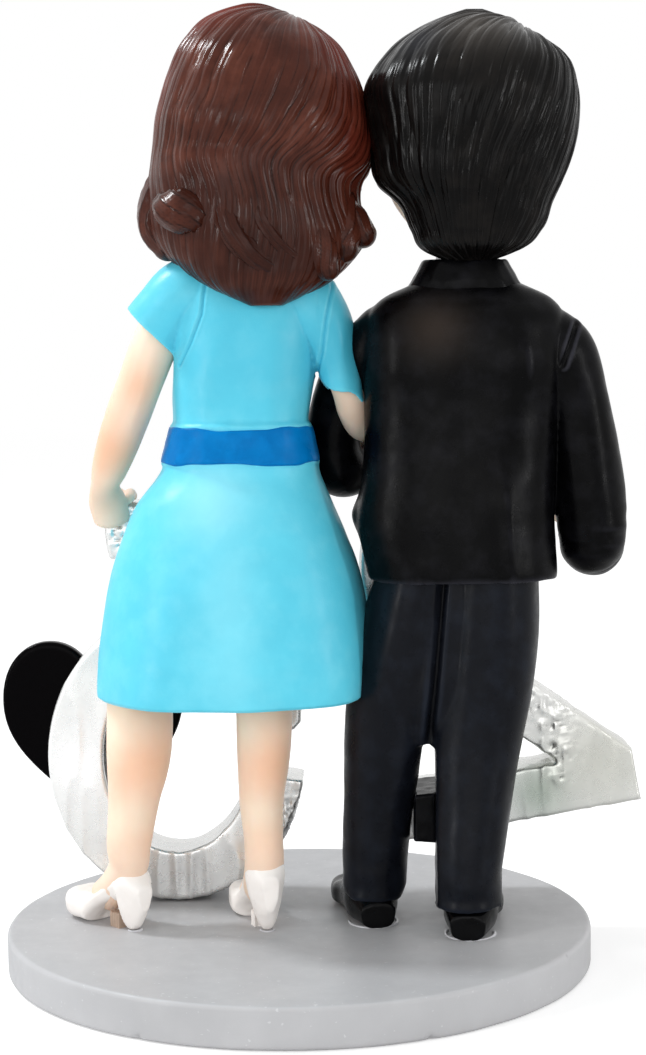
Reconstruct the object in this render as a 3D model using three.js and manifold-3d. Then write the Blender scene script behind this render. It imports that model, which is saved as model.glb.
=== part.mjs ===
// A resin figurine of a wedding couple that marks a twenty-fifth anniversary.
// Lengths are millimetres. +Z is up, the couple faces -Y, and the bride stands on the +X side.
// The origin is the centre of the round plate's underside.
// Every height below is measured from the top of the plate, where the couple stands.

import * as THREE from "three";
import { mergeVertices } from "three/addons/utils/BufferGeometryUtils.js";
import Module from "manifold-3d";

const wasm = await Module();
wasm.setup();

// Sizes shared by the whole figurine
const fit = 0.3;
const plate = { radius: 54, thickness: 7.5, edge: 0.9, sides: 54 };
const peg = { radius: 1.2, sink: 3.5, reach: 4 };

// The bride: where her body's axis stands, and the heights that her dress is cut to
const bride = { x: 9, y: 3 };
const skirt = { hem: 42.8, top: 84.7, foldDepth: 0.45, folds: 8 };
const belt = { height: 7.3 };
const spigot = { half: 8.5, deep: 6.5, sink: 4 };
const pump = { length: 22, heelWidth: 4.3, ballWidth: 4.9, arch: 4.6, toe: 5.8 };
const archPost = { width: 3.2, deep: 2.6, along: 7.4, clearance: 1.9 };
const shoeFacets = { sides: 10, steps: 9 };
const brideSteps = [
  { side: "left", x: 27.8, y: 10, turn: 42, counter: 11.6 },
  { side: "right", x: 4.7, y: 12.2, turn: 18, counter: 13.6 },
];

// The groom: his body's axis, the hem of his jacket and his shoes
const groom = { x: -31, y: 6 };
const jacket = { hem: 63.9, shoulder: 113.6, lapel: 1.3 };
const brogue = { length: 27, halfWidth: 5.4, heelHalf: 4.9, heel: 7.6, toe: 5 };
const cuff = { inset: 0.6, length: 1.8 };
const button = { radius: 1.3, thick: 0.7, drops: [4, 13] };
const groomSteps = [
  { side: "left", x: -14.6, y: 9.4, turn: 10 },
  { side: "right", x: -30.2, y: 18.4, turn: -8 },
];

// Heads: centre, half sizes, and how each head leans and turns
const head = { half: 16.6, front: 16, back: 15.5, below: 19.5, above: 19.5 };
const brideHead = { x: 4.8, y: -1.5, z: 142.5, lean: -3, turn: -6 };
const groomHead = { x: -32.8, y: 3, z: 143, lean: 2, turn: 14 };
const eye = { apart: 6.3, lift: 0.6, half: 2.6, tall: 3.3, deep: 1.5, forward: 14.3 };
const neck = { radius: 4.6, drop: 27 };
const neckPin = { radius: 1.1, length: 16 };

// The numerals and the heart
const five = {
  x: 23.2, back: -11, thick: 12, half: 24.7, rise: 28, stroke: 10.8, footStroke: 9.6,
  height: 77, width: 37, barThick: 10.6, stemInset: 0.7, stemThick: 11.5, stemFoot: 34.7,
};
const two = {
  x: -65.5, foot: 19, back: -9, thick: 12, tilt: 9.3,
  width: 46, outer: 22.5, rise: 49.5, stroke: 10, slope: 44, tip: 142,
};
const heart = { x: 40.4, tip: 14.4, width: 35.4, height: 34, thick: 3.5 };
const block = { x: -24.6, z: 19.7, width: 6.6, height: 9.8, front: -8.7, back: 7 };

const degrees = Math.PI / 180;
const weld = 7e-4;

// Solids from points and faces

function signedVolume(points, faces) {
  const cross = new THREE.Vector3();
  let sum = 0;
  for (let i = 0; i < faces.length; i += 3) {
    cross.crossVectors(points[faces[i + 1]], points[faces[i + 2]]);
    sum += points[faces[i]].dot(cross);
  }
  return sum / 6;
}

function solidOf(points, faces) {
  if (signedVolume(points, faces) < 0) faces.reverse();
  const vertProperties = new Float32Array(points.flatMap((p) => [p.x, p.y, p.z]));
  const triVerts = new Uint32Array(faces);
  return new wasm.Manifold(new wasm.Mesh({ numProp: 3, vertProperties, triVerts }));
}

function solidOfGeometry(geometry) {
  const bare = geometry.clone();
  bare.deleteAttribute("normal");
  bare.deleteAttribute("uv");
  const merged = mergeVertices(bare, weld);
  const place = merged.attributes.position;
  const points = [];
  for (let i = 0; i < place.count; i += 1) points.push(new THREE.Vector3().fromBufferAttribute(place, i));
  return solidOf(points, Array.from(merged.index.array));
}

function geometryOf(solid) {
  const { numProp, vertProperties, triVerts } = solid.getMesh();
  const count = vertProperties.length / numProp;
  const positions = new Float32Array(count * 3);
  for (let i = 0; i < count; i += 1) {
    positions.set(vertProperties.subarray(i * numProp, i * numProp + 3), i * 3);
  }
  const geometry = new THREE.BufferGeometry();
  geometry.setAttribute("position", new THREE.BufferAttribute(positions, 3));
  geometry.setIndex(new THREE.BufferAttribute(new Uint32Array(triVerts), 1));
  geometry.computeVertexNormals();
  return geometry;
}

function joined(...solids) {
  return solids.reduce((whole, piece) => whole.add(piece));
}

function cut(solid, ...tools) {
  return tools.reduce((left, tool) => left.subtract(tool), solid);
}

// What is left of a piece once its neighbours are cut away, without the slivers that the cuts leave
function trimmed(solid, ...tools) {
  const bodies = cut(solid, ...tools).decompose();
  return bodies.reduce((most, body) => (body.volume() > most.volume() ? body : most));
}

function moved(solid, matrix) {
  return solid.transform(matrix.elements);
}

// A closed skin over rings that all have the same number of points, with a flat cap at each end
function skin(rings) {
  const count = rings[0].length;
  const points = rings.flat();
  const middle = (ring) => ring.reduce((sum, p) => sum.add(p), new THREE.Vector3()).divideScalar(count);
  const start = points.length;
  points.push(middle(rings[0]), middle(rings[rings.length - 1]));
  const faces = [];
  for (let i = 0; i < count; i += 1) {
    const next = (i + 1) % count;
    for (let r = 0; r < rings.length - 1; r += 1) {
      const low = r * count;
      faces.push(low + i, low + next, low + count + next);
      faces.push(low + i, low + count + next, low + count + i);
    }
    const top = (rings.length - 1) * count;
    faces.push(start, next, i);
    faces.push(start + 1, top + i, top + next);
  }
  return solidOf(points, faces);
}

// A smooth value between the numbers in a list, where t counts along the list
function smooth(values, t) {
  const last = values.length - 1;
  const i = Math.min(Math.max(Math.floor(t), 0), last - 1);
  const u = t - i;
  const before = values[Math.max(i - 1, 0)];
  const from = values[i];
  const to = values[i + 1];
  const after = values[Math.min(i + 2, last)];
  const bend = 2 * before - 5 * from + 4 * to - after;
  const twist = 3 * from - before - 3 * to + after;
  return from + 0.5 * u * (to - before + u * (bend + u * twist));
}

function smoothRow(rows, t) {
  return rows[0].map((_, key) => smooth(rows.map((row) => row[key]), t));
}

const bulge = (value, power) => Math.sign(value) * Math.abs(value) ** (2 / power);

// Level rings, each row being height, x, y, half width, depth to the back and depth to the front
function stack(rows, { sides = 32, steps = 3, power = 2.3, grow = 0, wave = () => 0 } = {}) {
  const last = rows.length - 1;
  const rings = [];
  for (let step = 0; step <= last * steps; step += 1) {
    const [z, x, y, half, back, front] = smoothRow(rows, step / steps);
    const end = step === 0 ? -grow : step === last * steps ? grow : 0;
    const ring = [];
    for (let i = 0; i < sides; i += 1) {
      const turn = (2 * Math.PI * i) / sides;
      const c = bulge(Math.cos(turn), power);
      const s = bulge(Math.sin(turn), power);
      const depth = s > 0 ? back : front;
      const out = grow + wave(turn, step / (last * steps));
      ring.push(new THREE.Vector3(x + (half + out) * c, y + (depth + out) * s, z + end));
    }
    rings.push(ring);
  }
  return skin(rings);
}

// A tapering limb along a smooth path: each station is x, y, z, half width and half depth
function limb(stations, { sides = 10, steps = 3, grow = 0, toward = [0, 1, 0], domes = [true, true] } = {}) {
  const curve = new THREE.CatmullRomCurve3(stations.map(([x, y, z]) => new THREE.Vector3(x, y, z)));
  const last = stations.length - 1;
  const domeTurns = sides > 6 ? [62, 28] : [48];
  const rings = [];
  const addRing = (t, shrink, shift) => {
    const [, , , wide, deep] = smoothRow(stations, t);
    const along = curve.getTangent(t / last);
    const depthWay = new THREE.Vector3(...toward);
    depthWay.addScaledVector(along, -along.dot(depthWay)).normalize();
    const widthWay = new THREE.Vector3().crossVectors(along, depthWay);
    const centre = curve.getPoint(t / last).addScaledVector(along, shift * (Math.min(wide, deep) + grow));
    const ring = [];
    for (let i = 0; i < sides; i += 1) {
      const turn = (2 * Math.PI * i) / sides;
      ring.push(centre.clone()
        .addScaledVector(widthWay, shrink * (wide + grow) * Math.cos(turn))
        .addScaledVector(depthWay, shrink * (deep + grow) * Math.sin(turn)));
    }
    rings.push(ring);
  };
  const addDome = (t, way, turns) => {
    turns.forEach((turn) => addRing(t, Math.cos(turn * degrees), way * Math.sin(turn * degrees)));
  };
  if (domes[0]) addDome(0, -1, domeTurns);
  for (let step = 0; step <= last * steps; step += 1) addRing(step / steps, 1, 0);
  if (domes[1]) addDome(last, 1, domeTurns.slice().reverse());
  return skin(rings);
}

// An outline drawn in x and z, run along y from its back face forwards
function prism(shape, back, thick, bevel = 0, curveSegments = 8) {
  const geometry = new THREE.ExtrudeGeometry(shape, {
    depth: thick - 2 * bevel,
    bevelEnabled: bevel > 0,
    bevelThickness: bevel,
    bevelSize: bevel,
    bevelOffset: -bevel,
    bevelSegments: 1,
    curveSegments,
  });
  geometry.translate(0, 0, bevel);
  geometry.rotateX(Math.PI / 2);
  geometry.translate(0, back, 0);
  return geometry;
}

function rod(radius, from, to, sides = 16) {
  const way = new THREE.Vector3().subVectors(to, from);
  const geometry = new THREE.CylinderGeometry(radius, radius, way.length(), sides);
  const lay = new THREE.Quaternion().setFromUnitVectors(new THREE.Vector3(0, 1, 0), way.clone().normalize());
  geometry.applyQuaternion(lay);
  geometry.translate(...from.clone().addScaledVector(way, 0.5).toArray());
  return solidOfGeometry(geometry);
}

function ball(x, y, z, wide, deep, tall, sides = 14) {
  const geometry = new THREE.SphereGeometry(1, sides, Math.round(sides * 0.7));
  geometry.scale(wide, tall, deep);
  geometry.rotateX(Math.PI / 2);
  geometry.translate(x, y, z);
  return solidOfGeometry(geometry);
}

// Finishes
const finish = {
  plate: { color: 0xb3b5b6, roughness: 0.5 },
  skin: { color: 0xf6d3b8, roughness: 0.45 },
  dress: { color: 0x6fdcf0, roughness: 0.4 },
  belt: { color: 0x0b6fb8, roughness: 0.4 },
  pump: { color: 0xf7efea, roughness: 0.35 },
  support: { color: 0xbfa595, roughness: 0.7 },
  brownHair: { color: 0x4a281f, roughness: 0.25 },
  blackHair: { color: 0x15151a, roughness: 0.2 },
  suit: { color: 0x121217, roughness: 0.35 },
  trousers: { color: 0x1d2026, roughness: 0.4 },
  blackShoe: { color: 0x0b0b0d, roughness: 0.25 },
  shirt: { color: 0xf2f2f2, roughness: 0.5 },
  tie: { color: 0x0b6fb8, roughness: 0.4 },
  eye: { color: 0x1c120e, roughness: 0.1 },
  silver: { color: 0xc6c8c4, roughness: 0.35, metalness: 0.9 },
  heart: { color: 0x070506, roughness: 0.08 },
  steel: { color: 0x9a9da0, roughness: 0.35, metalness: 1 },
};

const figurine = new THREE.Group();
const couple = new THREE.Group();
couple.position.z = plate.thickness;
figurine.add(couple);

function addPart(name, piece, look, parent = couple) {
  const geometry = piece.isBufferGeometry ? piece : geometryOf(piece);
  const mesh = new THREE.Mesh(geometry, new THREE.MeshStandardMaterial(look));
  mesh.name = name;
  parent.add(mesh);
  return mesh;
}

// The bride's high-heeled shoes
// Each is lofted from the back of the heel to the toe, along its own length, and is hollowed for the foot.

function pumpSection(share, counter) {
  const tops = [counter - 3, counter, counter - 2, 7.4, pump.toe - 0.2, pump.toe - 0.4, pump.toe, 3.6];
  const lows = [4.2, 0, 0, 0, 0, 0, 0.1, 1];
  const widths = [1.9, pump.heelWidth, pump.heelWidth - 0.1, 4, pump.ballWidth - 0.2, pump.ballWidth, 4.5, 2.2];
  const feet = [0.45, 0.4, 0.48, 0.75, 0.95, 0.95, 0.9, 0.85];
  const t = share * (tops.length - 1);
  return { top: smooth(tops, t), low: smooth(lows, t), half: smooth(widths, t), foot: smooth(feet, t) };
}

function pumpBody(counter) {
  const rings = [];
  const { sides: around, steps } = shoeFacets;
  for (let step = 0; step <= steps; step += 1) {
    const { top, low, half, foot } = pumpSection(step / steps, counter);
    const middle = (top + low) / 2;
    const tall = (top - low) / 2;
    const ring = [];
    for (let i = 0; i < around; i += 1) {
      const turn = (2 * Math.PI * i) / around;
      const up = bulge(Math.sin(turn), 3);
      const narrow = foot + (1 - foot) * (up + 1) / 2;
      const side = half * narrow * bulge(Math.cos(turn), 2.6);
      const height = Math.max(middle + tall * up, 0);
      ring.push(new THREE.Vector3(side, -pump.length * step / steps, height));
    }
    rings.push(ring);
  }
  return skin(rings);
}

function archTunnel() {
  const gap = new THREE.Shape();
  gap.moveTo(4.6, -1);
  gap.quadraticCurveTo(4.4, pump.arch * 0.9, 6.4, pump.arch);
  gap.quadraticCurveTo(10, pump.arch * 0.8, 13.4, -1);
  gap.closePath();
  const geometry = new THREE.ExtrudeGeometry(gap, { depth: 14, bevelEnabled: false, curveSegments: 5 });
  geometry.rotateX(Math.PI / 2);
  geometry.rotateZ(-Math.PI / 2);
  geometry.translate(7, 0, 0);
  return solidOfGeometry(geometry);
}

function stepFrame(step) {
  const matrix = new THREE.Matrix4().makeRotationZ(step.turn * degrees);
  return matrix.setPosition(step.x, step.y, 0);
}

// A leg runs down from inside the skirt to the ankle, and on into the shoe as a foot
function brideLeg(step, grow = 0) {
  const left = step.side === "left";
  const top = left ? [28.3, 4, 53, 5.7, 5.9] : [5.6, 4, 53, 5.3, 5.6];
  const calf = left ? [28.8, 4.2, 34, 6, 6.1] : [5.9, 4.2, 34, 5, 5.6];
  const shin = left ? [30, 4.8, 23.5, 4.7, 4.9] : [6.5, 5, 23.5, 4.1, 4.5];
  const frame = stepFrame(step);
  const inShoe = (along, height, wide, deep) => {
    const point = new THREE.Vector3(0, -along, height).applyMatrix4(frame);
    return [point.x, point.y, point.z, wide, deep];
  };
  const ankle = left ? inShoe(4.6, 16, 4.1, 4.2) : inShoe(5.2, 17, 3.6, 3.9);
  const heel = inShoe(4.9, 11.8, 3.6, 3.9);
  const instep = inShoe(8.2, 7.8, 3.3, 3.6);
  const vamp = inShoe(12.2, 4.6, 3.2, 2);
  return limb([top, calf, shin, ankle, heel, instep, vamp], { sides: 12, steps: 1, grow, toward: [0, 1, 0.2] });
}

const brideLegs = brideSteps.map((step) => brideLeg(step));
const brideLegRooms = brideSteps.map((step) => brideLeg(step, fit));

// A small post stands in the plate under each arch
const postHeight = pump.arch - archPost.clearance;
brideSteps.forEach((step, i) => {
  const frame = stepFrame(step);
  const shoe = moved(cut(pumpBody(step.counter), archTunnel()), frame);
  addPart(`bride_shoe_${step.side}`, cut(shoe, brideLegRooms[i]), finish.pump);
  addPart(`bride_leg_${step.side}`, brideLegs[i], finish.skin);
  const post = new THREE.BoxGeometry(archPost.width, archPost.deep, postHeight + peg.sink);
  post.translate(0, 0, (postHeight - peg.sink) / 2);
  const support = addPart(`bride_arch_support_${step.side}`, post, finish.support);
  support.position.set(0, -archPost.along, 0).applyMatrix4(frame);
  support.rotation.z = step.turn * degrees;
});

// The skirt, the belt and the bodice

const upSkirt = (share) => skirt.hem + share * (skirt.top - skirt.hem);

const skirtRows = [
  [upSkirt(0), 1.9, 0, 24.4, 20.6, 12.8],
  [upSkirt(0.03), 1.9, 0, 24.9, 21, 13.1],
  [upSkirt(0.23), 1.6, 0, 24.6, 20.6, 13.1],
  [upSkirt(0.51), 1.5, 0, 22.8, 19, 13],
  [upSkirt(0.69), 1.6, 0, 20.4, 17, 12.8],
  [upSkirt(0.83), 1.5, 0, 17.9, 15, 12.4],
  [upSkirt(0.94), 0.7, 0, 15.2, 12.7, 11.8],
  [upSkirt(1), 0.3, 0, 14, 11.8, 11.4],
].map(([z, x, y, ...sizes]) => [z, bride.x + x, bride.y + y, ...sizes]);

const skirtFolds = (turn, up) => skirt.foldDepth * (1 - up) ** 1.5 * Math.sin(skirt.folds * turn + 0.8);

function brideSkirt(grow = 0) {
  return stack(skirtRows, { sides: 36, steps: 1, power: 2.2, grow, wave: skirtFolds });
}

const spigotRoom = (grow) => stack([
  [skirt.top - spigot.sink, bride.x, bride.y, spigot.half, spigot.deep, spigot.deep],
  [skirt.top + belt.height + 2, bride.x, bride.y, spigot.half, spigot.deep, spigot.deep],
], { sides: 18, steps: 1, power: 2, grow });

const underSkirt = stack([
  [skirt.hem - 1, bride.x + 1.9, bride.y, 22.4, 18.6, 11],
  [skirt.hem + 3, bride.x + 1.9, bride.y, 21.8, 18, 10.6],
], { sides: 18, steps: 1, power: 2.2 });

addPart("bride_skirt", cut(brideSkirt(), spigotRoom(fit), underSkirt, ...brideLegRooms), finish.dress);

const beltFoot = skirt.top + fit;
const beltRows = [
  [beltFoot, bride.x + 0.3, bride.y, 14.1, 12.3, 11.9],
  [beltFoot + belt.height / 2, bride.x + 0.2, bride.y, 13.5, 11.7, 11.3],
  [beltFoot + belt.height, bride.x + 0.1, bride.y, 12.9, 11.2, 10.8],
];
addPart("bride_belt", cut(stack(beltRows, { sides: 30, steps: 1 }), spigotRoom(fit)), finish.belt);

const bodiceFoot = beltFoot + belt.height + fit;
const bodiceRows = [
  [bodiceFoot, 0.1, 0, 12.3, 10.6, 10.4],
  [bodiceFoot + 5.5, -0.3, 0, 12.7, 10.8, 11.4],
  [bodiceFoot + 12, -1, 0, 13.1, 10.8, 12],
  [bodiceFoot + 19, -1, 0, 13.4, 9.8, 10.2],
  [bodiceFoot + 25, -1, 0, 12.8, 8, 7.6],
  [bodiceFoot + 29, -1, 0, 11.2, 6.6, 6.4],
  [bodiceFoot + 31, -1, 0, 8.4, 5.2, 5.2],
].map(([z, x, y, ...sizes]) => [z, bride.x + x, bride.y + y, ...sizes]);

function brideTorso(grow = 0) {
  return stack(bodiceRows, { sides: 26, steps: 1, power: 2.3, grow });
}

// Arms and sleeves

function brideSleeve(side, grow = 0) {
  const stations = side === "left"
    ? [[13.5, 3, 115, 7.6, 7.2], [18, 3, 115, 7.3, 7], [22, 3, 111.8, 6.6, 6.4], [24.8, 3, 108.8, 6.1, 6]]
    : [[3, 3, 115, 7.6, 7.2], [-1.5, 3.6, 114.6, 7.2, 7], [-6, 4.8, 109, 5.8, 6.2], [-8.3, 5.8, 103, 4.3, 5],
      [-9.4, 6.2, 97.6, 3.9, 4.5]];
  return limb(stations, { sides: 11, steps: 1, grow, domes: [false, false] });
}

const fingerLength = 7.5;

function brideArm(side, grow = 0) {
  const left = side === "left";
  const stations = left
    ? [[21, 3, 112.5, 4.2, 4.2], [24.4, 3, 107, 4.3, 4.3], [26.9, 2.6, 101, 4.1, 4.2],
      [29.4, 1.6, 95, 4.1, 4.1], [31.6, 0, 89.5, 3.9, 3.9], [33.7, -2.2, 84.2, 3.3, 3.3],
      [34.8, -4.2, 81, 2.7, 2.5], [34.7, -6.3, 78, 3.5, 2.2], [34.2, -8.3, 74.6, 3.5, 2]]
    : [[-7.8, 5.6, 105, 3.2, 3], [-9.4, 6.2, 97.6, 3.2, 3], [-10.6, 4.4, 93.6, 3, 3],
      [-12.9, -1.8, 91.2, 2.7, 2.7], [-14.8, -8, 91, 2.2, 2.3], [-15.6, -11.6, 92, 1.6, 2.3],
      [-16, -14.6, 92.2, 1.5, 2.8]];
  const arm = limb(stations, { sides: 8, steps: 1, grow, toward: left ? [0, 1, 0] : [1, 0, 0] });
  const fingers = [];
  for (let i = 0; i < 4; i += 1) {
    const reach = fingerLength - Math.abs(i - 1.4) * 0.9;
    const knuckle = left
      ? [30.9 + 2.05 * i, -8.2, 78.2, 1.1, 1.1]
      : [-18.2 + 1.5 * i, -15.2, 92.3, 0.85, 0.85];
    const middle = [...knuckle];
    const tip = [...knuckle];
    middle[1] -= left ? reach * 0.5 : reach * 0.35;
    middle[2] += left ? 0.7 : 0.2;
    tip[1] -= left ? reach : reach * 0.68;
    tip[2] -= left ? 0 : 0.9;
    fingers.push(limb([knuckle, middle, tip], { sides: 5, steps: 1, grow, toward: [0, 0, 1] }));
  }
  return joined(arm, ...fingers);
}

const sides = ["left", "right"];
const brideArms = Object.fromEntries(sides.map((side) => [side, brideArm(side)]));
const brideArmRooms = Object.fromEntries(sides.map((side) => [side, brideArm(side, fit)]));
const torsoRoom = brideTorso(fit);

// Heads

function headFrame({ x, y, z, lean, turn }) {
  const pose = new THREE.Euler(0, lean * degrees, turn * degrees, "ZYX");
  return new THREE.Matrix4().makeRotationFromEuler(pose).setPosition(x, y, z);
}

const headRows = [
  [-1, 0, -5, 0.14, 0.14, 0.14],
  [-0.87, 0, -3.4, 0.5, 0.56, 0.46],
  [-0.6, 0, -1.4, 0.8, 0.82, 0.72],
  [-0.25, 0, -0.3, 0.96, 0.96, 0.92],
  [0.15, 0, 0, 1, 1, 1],
  [0.55, 0, 0.6, 0.88, 0.88, 0.92],
  [0.85, 0, 1, 0.56, 0.56, 0.62],
  [1, 0, 1.4, 0.16, 0.16, 0.18],
].map(([z, x, y, half, back, front]) => [
  z * (z < 0 ? head.below : head.above), x, y, half * head.half, back * head.back, front * head.front,
]);

function skull(frame, grow = 0) {
  return moved(stack(headRows, { sides: 18, steps: 1, power: 2.15, grow }), frame);
}

function neckOf(place, grow = 0) {
  const low = [place.x + (place.foot ?? 0), place.y + 2.5, place.z - neck.drop, neck.radius, neck.radius];
  const high = [place.x, place.y + 1, place.z - head.below + 5, neck.radius, neck.radius];
  return limb([low, high], { sides: 12, steps: 1, grow, domes: [false, false] });
}

function eyeBall(side, grow = 0) {
  const across = side === "left" ? eye.apart : -eye.apart;
  return ball(across, -eye.forward, eye.lift, eye.half + grow, eye.deep + grow, eye.tall + grow, 8);
}

function faceOf(frame) {
  const nose = ball(0, -head.front - 0.1, -head.below * 0.22, 1.7, 1.7, 1.5, 6);
  const upperLip = ball(0, -head.front + 1.9, -head.below * 0.5, 2.7, 1.2, 0.7, 6);
  const lowerLip = ball(0, -head.front + 2.1, -head.below * 0.56, 2.2, 1.2, 0.8, 6);
  return moved(joined(nose, upperLip, lowerLip), frame);
}

// Hair is a star-shaped form: from one centre, each direction meets its surface once.
// Its rings turn about a pole at the crown, and the relief combs locks away from that pole.
function hairForm(rows, { centre, pole, sides: around, rings: down, relief, grow = 0, power = 2.15 }) {
  const heights = rows.map((row) => row[0]);
  const inside = (p) => {
    if (p.z <= heights[0] || p.z >= heights[heights.length - 1]) return false;
    const i = heights.findIndex((h) => h > p.z) - 1;
    const t = i + (p.z - heights[i]) / (heights[i + 1] - heights[i]);
    const [, x, y, half, back, front] = smoothRow(rows, t);
    const depth = p.y > y ? back : front;
    return Math.abs((p.x - x) / half) ** power + Math.abs((p.y - y) / depth) ** power < 1;
  };
  const upright = new THREE.Vector3(0, 0, 1);
  const turnToPole = new THREE.Quaternion().setFromUnitVectors(upright, pole.clone().normalize());
  const surface = [];
  for (let r = 0; r < down; r += 1) {
    const fall = (r + 0.5) / down;
    const polar = fall * Math.PI;
    const ring = [];
    for (let i = 0; i < around; i += 1) {
      const turn = (2 * Math.PI * i) / around;
      const way = new THREE.Vector3().setFromSphericalCoords(1, polar, turn + Math.PI / 2);
      way.set(way.x, -way.z, way.y).applyQuaternion(turnToPole);
      let near = 0;
      let far = 60;
      for (let halving = 0; halving < 18; halving += 1) {
        const guess = (near + far) / 2;
        if (inside(centre.clone().addScaledVector(way, guess))) near = guess;
        else far = guess;
      }
      ring.push(centre.clone().addScaledVector(way, near + grow + relief(turn, fall)));
    }
    surface.push(ring);
  }
  return skin(surface);
}

const brideHairRows = [
  [113.2, -5, 8, 3, 3, 3],
  [116.5, -5, 6, 10, 8, 8],
  [121, -4.6, 3, 15.8, 12, 12],
  [125.5, -3.9, 0, 19.2, 15.6, 14.5],
  [131, -3.2, -2, 19.8, 18, 16],
  [139.5, -4.4, -3.5, 20.1, 20.4, 16.5],
  [148, -4.6, -3.8, 19.2, 21, 17.5],
  [155, -4.5, -3.8, 17, 19.4, 17],
  [161, -4, -3.6, 13.4, 15.4, 13.5],
  [165, -3.2, -3.2, 8.2, 9.6, 8.6],
  [167.4, -3, -3, 2.2, 2.4, 2.4],
].map(([z, x, y, ...sizes]) => [z, bride.x + x, bride.y + y, ...sizes]);

const groomHairRows = [
  [120.6, -1, 3, 3.6, 4, 4],
  [122.6, -1.8, 2.2, 8.6, 8, 8],
  [126.2, -2.7, 0.8, 11.7, 11, 9.6],
  [131.2, -2.6, -0.8, 13.9, 14, 11.6],
  [134.6, -1.7, -1.8, 16.6, 16, 13.6],
  [140, -2.2, -2.7, 18.3, 17.7, 15.4],
  [146, -2.4, -3, 19.1, 18.8, 16.8],
  [151.5, -2.1, -3, 19.1, 18.6, 17.4],
  [156.4, -2.7, -3, 16.7, 16.8, 16],
  [161, -2.3, -3, 11.2, 12, 11.6],
  [164.2, -2.8, -3, 5, 5.6, 5.4],
  [165.3, -2.8, -3, 1.6, 1.8, 1.8],
].map(([z, x, y, ...sizes]) => [z, groom.x + x, groom.y + y, ...sizes]);

const lock = { depth: 0.55, bride: 17, groom: 19 };

const brideRelief = (turn, fall) => {
  const wave = lock.bride * turn + 2.4 * Math.sin(2.2 * Math.PI * fall);
  return lock.depth * Math.min(1, 5 * fall) * (Math.abs(Math.sin(wave / 2)) - 0.7);
};
const groomRelief = (turn, fall) => {
  const comb = lock.groom * (turn + 1.1 * fall);
  return lock.depth * Math.min(1, 5 * fall) * (Math.abs(Math.sin(comb / 2)) - 0.7);
};

function brideHairMass(grow = 0) {
  return hairForm(brideHairRows, {
    centre: new THREE.Vector3(bride.x - 4.3, bride.y - 2, 141),
    pole: new THREE.Vector3(-0.12, 0.12, 1),
    sides: 51, rings: 10, relief: brideRelief, grow,
  });
}

function groomHairMass() {
  return hairForm(groomHairRows, {
    centre: new THREE.Vector3(groom.x - 2.4, groom.y - 2.5, 145),
    pole: new THREE.Vector3(-0.42, 0.3, 0.85),
    sides: 45, rings: 9, relief: groomRelief,
  });
}

// Locks that end the bride's hair and turn under, each with stations of x, y, z, half width and half depth
const brideLocks = [
  [[19.5, 2.4, 142, 1.6, 2.4], [22, 3, 137, 2.4, 3.6], [23.5, 3.6, 131.5, 3.3, 4.4], [23.3, 4, 127.4, 3.4, 4.2],
    [21.6, 4.4, 124.2, 2.6, 3.2]],
  [[18.9, 13, 135.5, 2.6, 1.4], [18.8, 14.6, 132.2, 3.8, 2.9], [18.2, 15.6, 129, 4.2, 3.6],
    [17.6, 15.8, 126.4, 3.8, 3.4], [17, 15, 123.8, 2.6, 2.4]],
  [[11.2, 16.4, 138, 1.8, 1.2], [10.8, 17.6, 131, 2.2, 1.7], [10.4, 18.2, 126, 2.3, 1.9], [9, 18.3, 122.4, 2.2, 1.9],
    [6.2, 18.2, 120.8, 2, 1.8], [3.2, 18.2, 121.2, 1.7, 1.6], [1.4, 18, 122.6, 1.3, 1.3]],
  [[2.6, 17.4, 133, 1.2, 0.8], [2.6, 18.4, 128, 1.5, 1.2], [3.6, 18.7, 125, 1.5, 1.3], [5.6, 18.5, 124, 1.1, 1.1]],
  [[-9.6, 6, 138, 2, 3], [-10.4, 7, 132.5, 2.8, 3.8], [-12, 7.8, 128, 2.9, 3.6], [-13.2, 8, 125.2, 2.4, 2.8]],
  [[-9, 8.4, 131, 3.4, 3.4], [-9.6, 9.6, 126, 3.6, 3.6], [-9.8, 10.2, 123.2, 2.8, 3]],
  [[-4.6, 13.6, 128, 2.2, 2], [-6, 14.4, 123, 2.6, 2.4], [-7, 14.2, 119.6, 2.3, 2.3]],
  [[20.4, -7, 138, 2, 2.2], [21.2, -7.4, 131, 2.9, 2.9], [20.4, -7.2, 126, 2.4, 2.4]],
  [[-10.6, -4, 138, 2, 2.2], [-11.6, -4.6, 131, 2.6, 2.8], [-11, -4.4, 126, 2.2, 2.4]],
];

const lockForm = (stations, grow = 0) => limb(stations, { sides: 8, steps: 1, grow });

// The opening in the hair for the face, drawn in the head's own frame
function faceOpening({ chin, brow, jaw, cheek, back }) {
  const shape = new THREE.Shape();
  shape.moveTo(-jaw, chin);
  shape.bezierCurveTo(-cheek, chin * 0.4, -cheek, brow * 0.7, -cheek * 0.35, brow);
  shape.quadraticCurveTo(cheek * 0.4, brow * 1.1, cheek * 0.82, brow * 0.45);
  shape.bezierCurveTo(cheek, 0, cheek, chin * 0.5, jaw, chin);
  shape.closePath();
  return solidOfGeometry(prism(shape, back, 40));
}

const brideFrame = headFrame(brideHead);
const groomFrame = headFrame(groomHead);
const brideNeckPlace = { ...brideHead, foot: 3 };
const groomNeckPlace = { ...groomHead, foot: 1 };

function headOf(frame, neckPlace) {
  const sockets = sides.map((side) => moved(eyeBall(side, 0.1), frame));
  return cut(joined(skull(frame), neckOf(neckPlace), faceOf(frame)), ...sockets);
}

function pinOf(place, grow = 0) {
  const middle = new THREE.Vector3(place.x + place.foot, place.y + 2.5, place.z - neck.drop);
  const reach = neckPin.length / 2 + grow;
  const foot = middle.clone().setZ(middle.z - reach);
  const top = middle.clone().setZ(middle.z + reach);
  return rod(neckPin.radius + grow, foot, top, 8);
}

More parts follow.
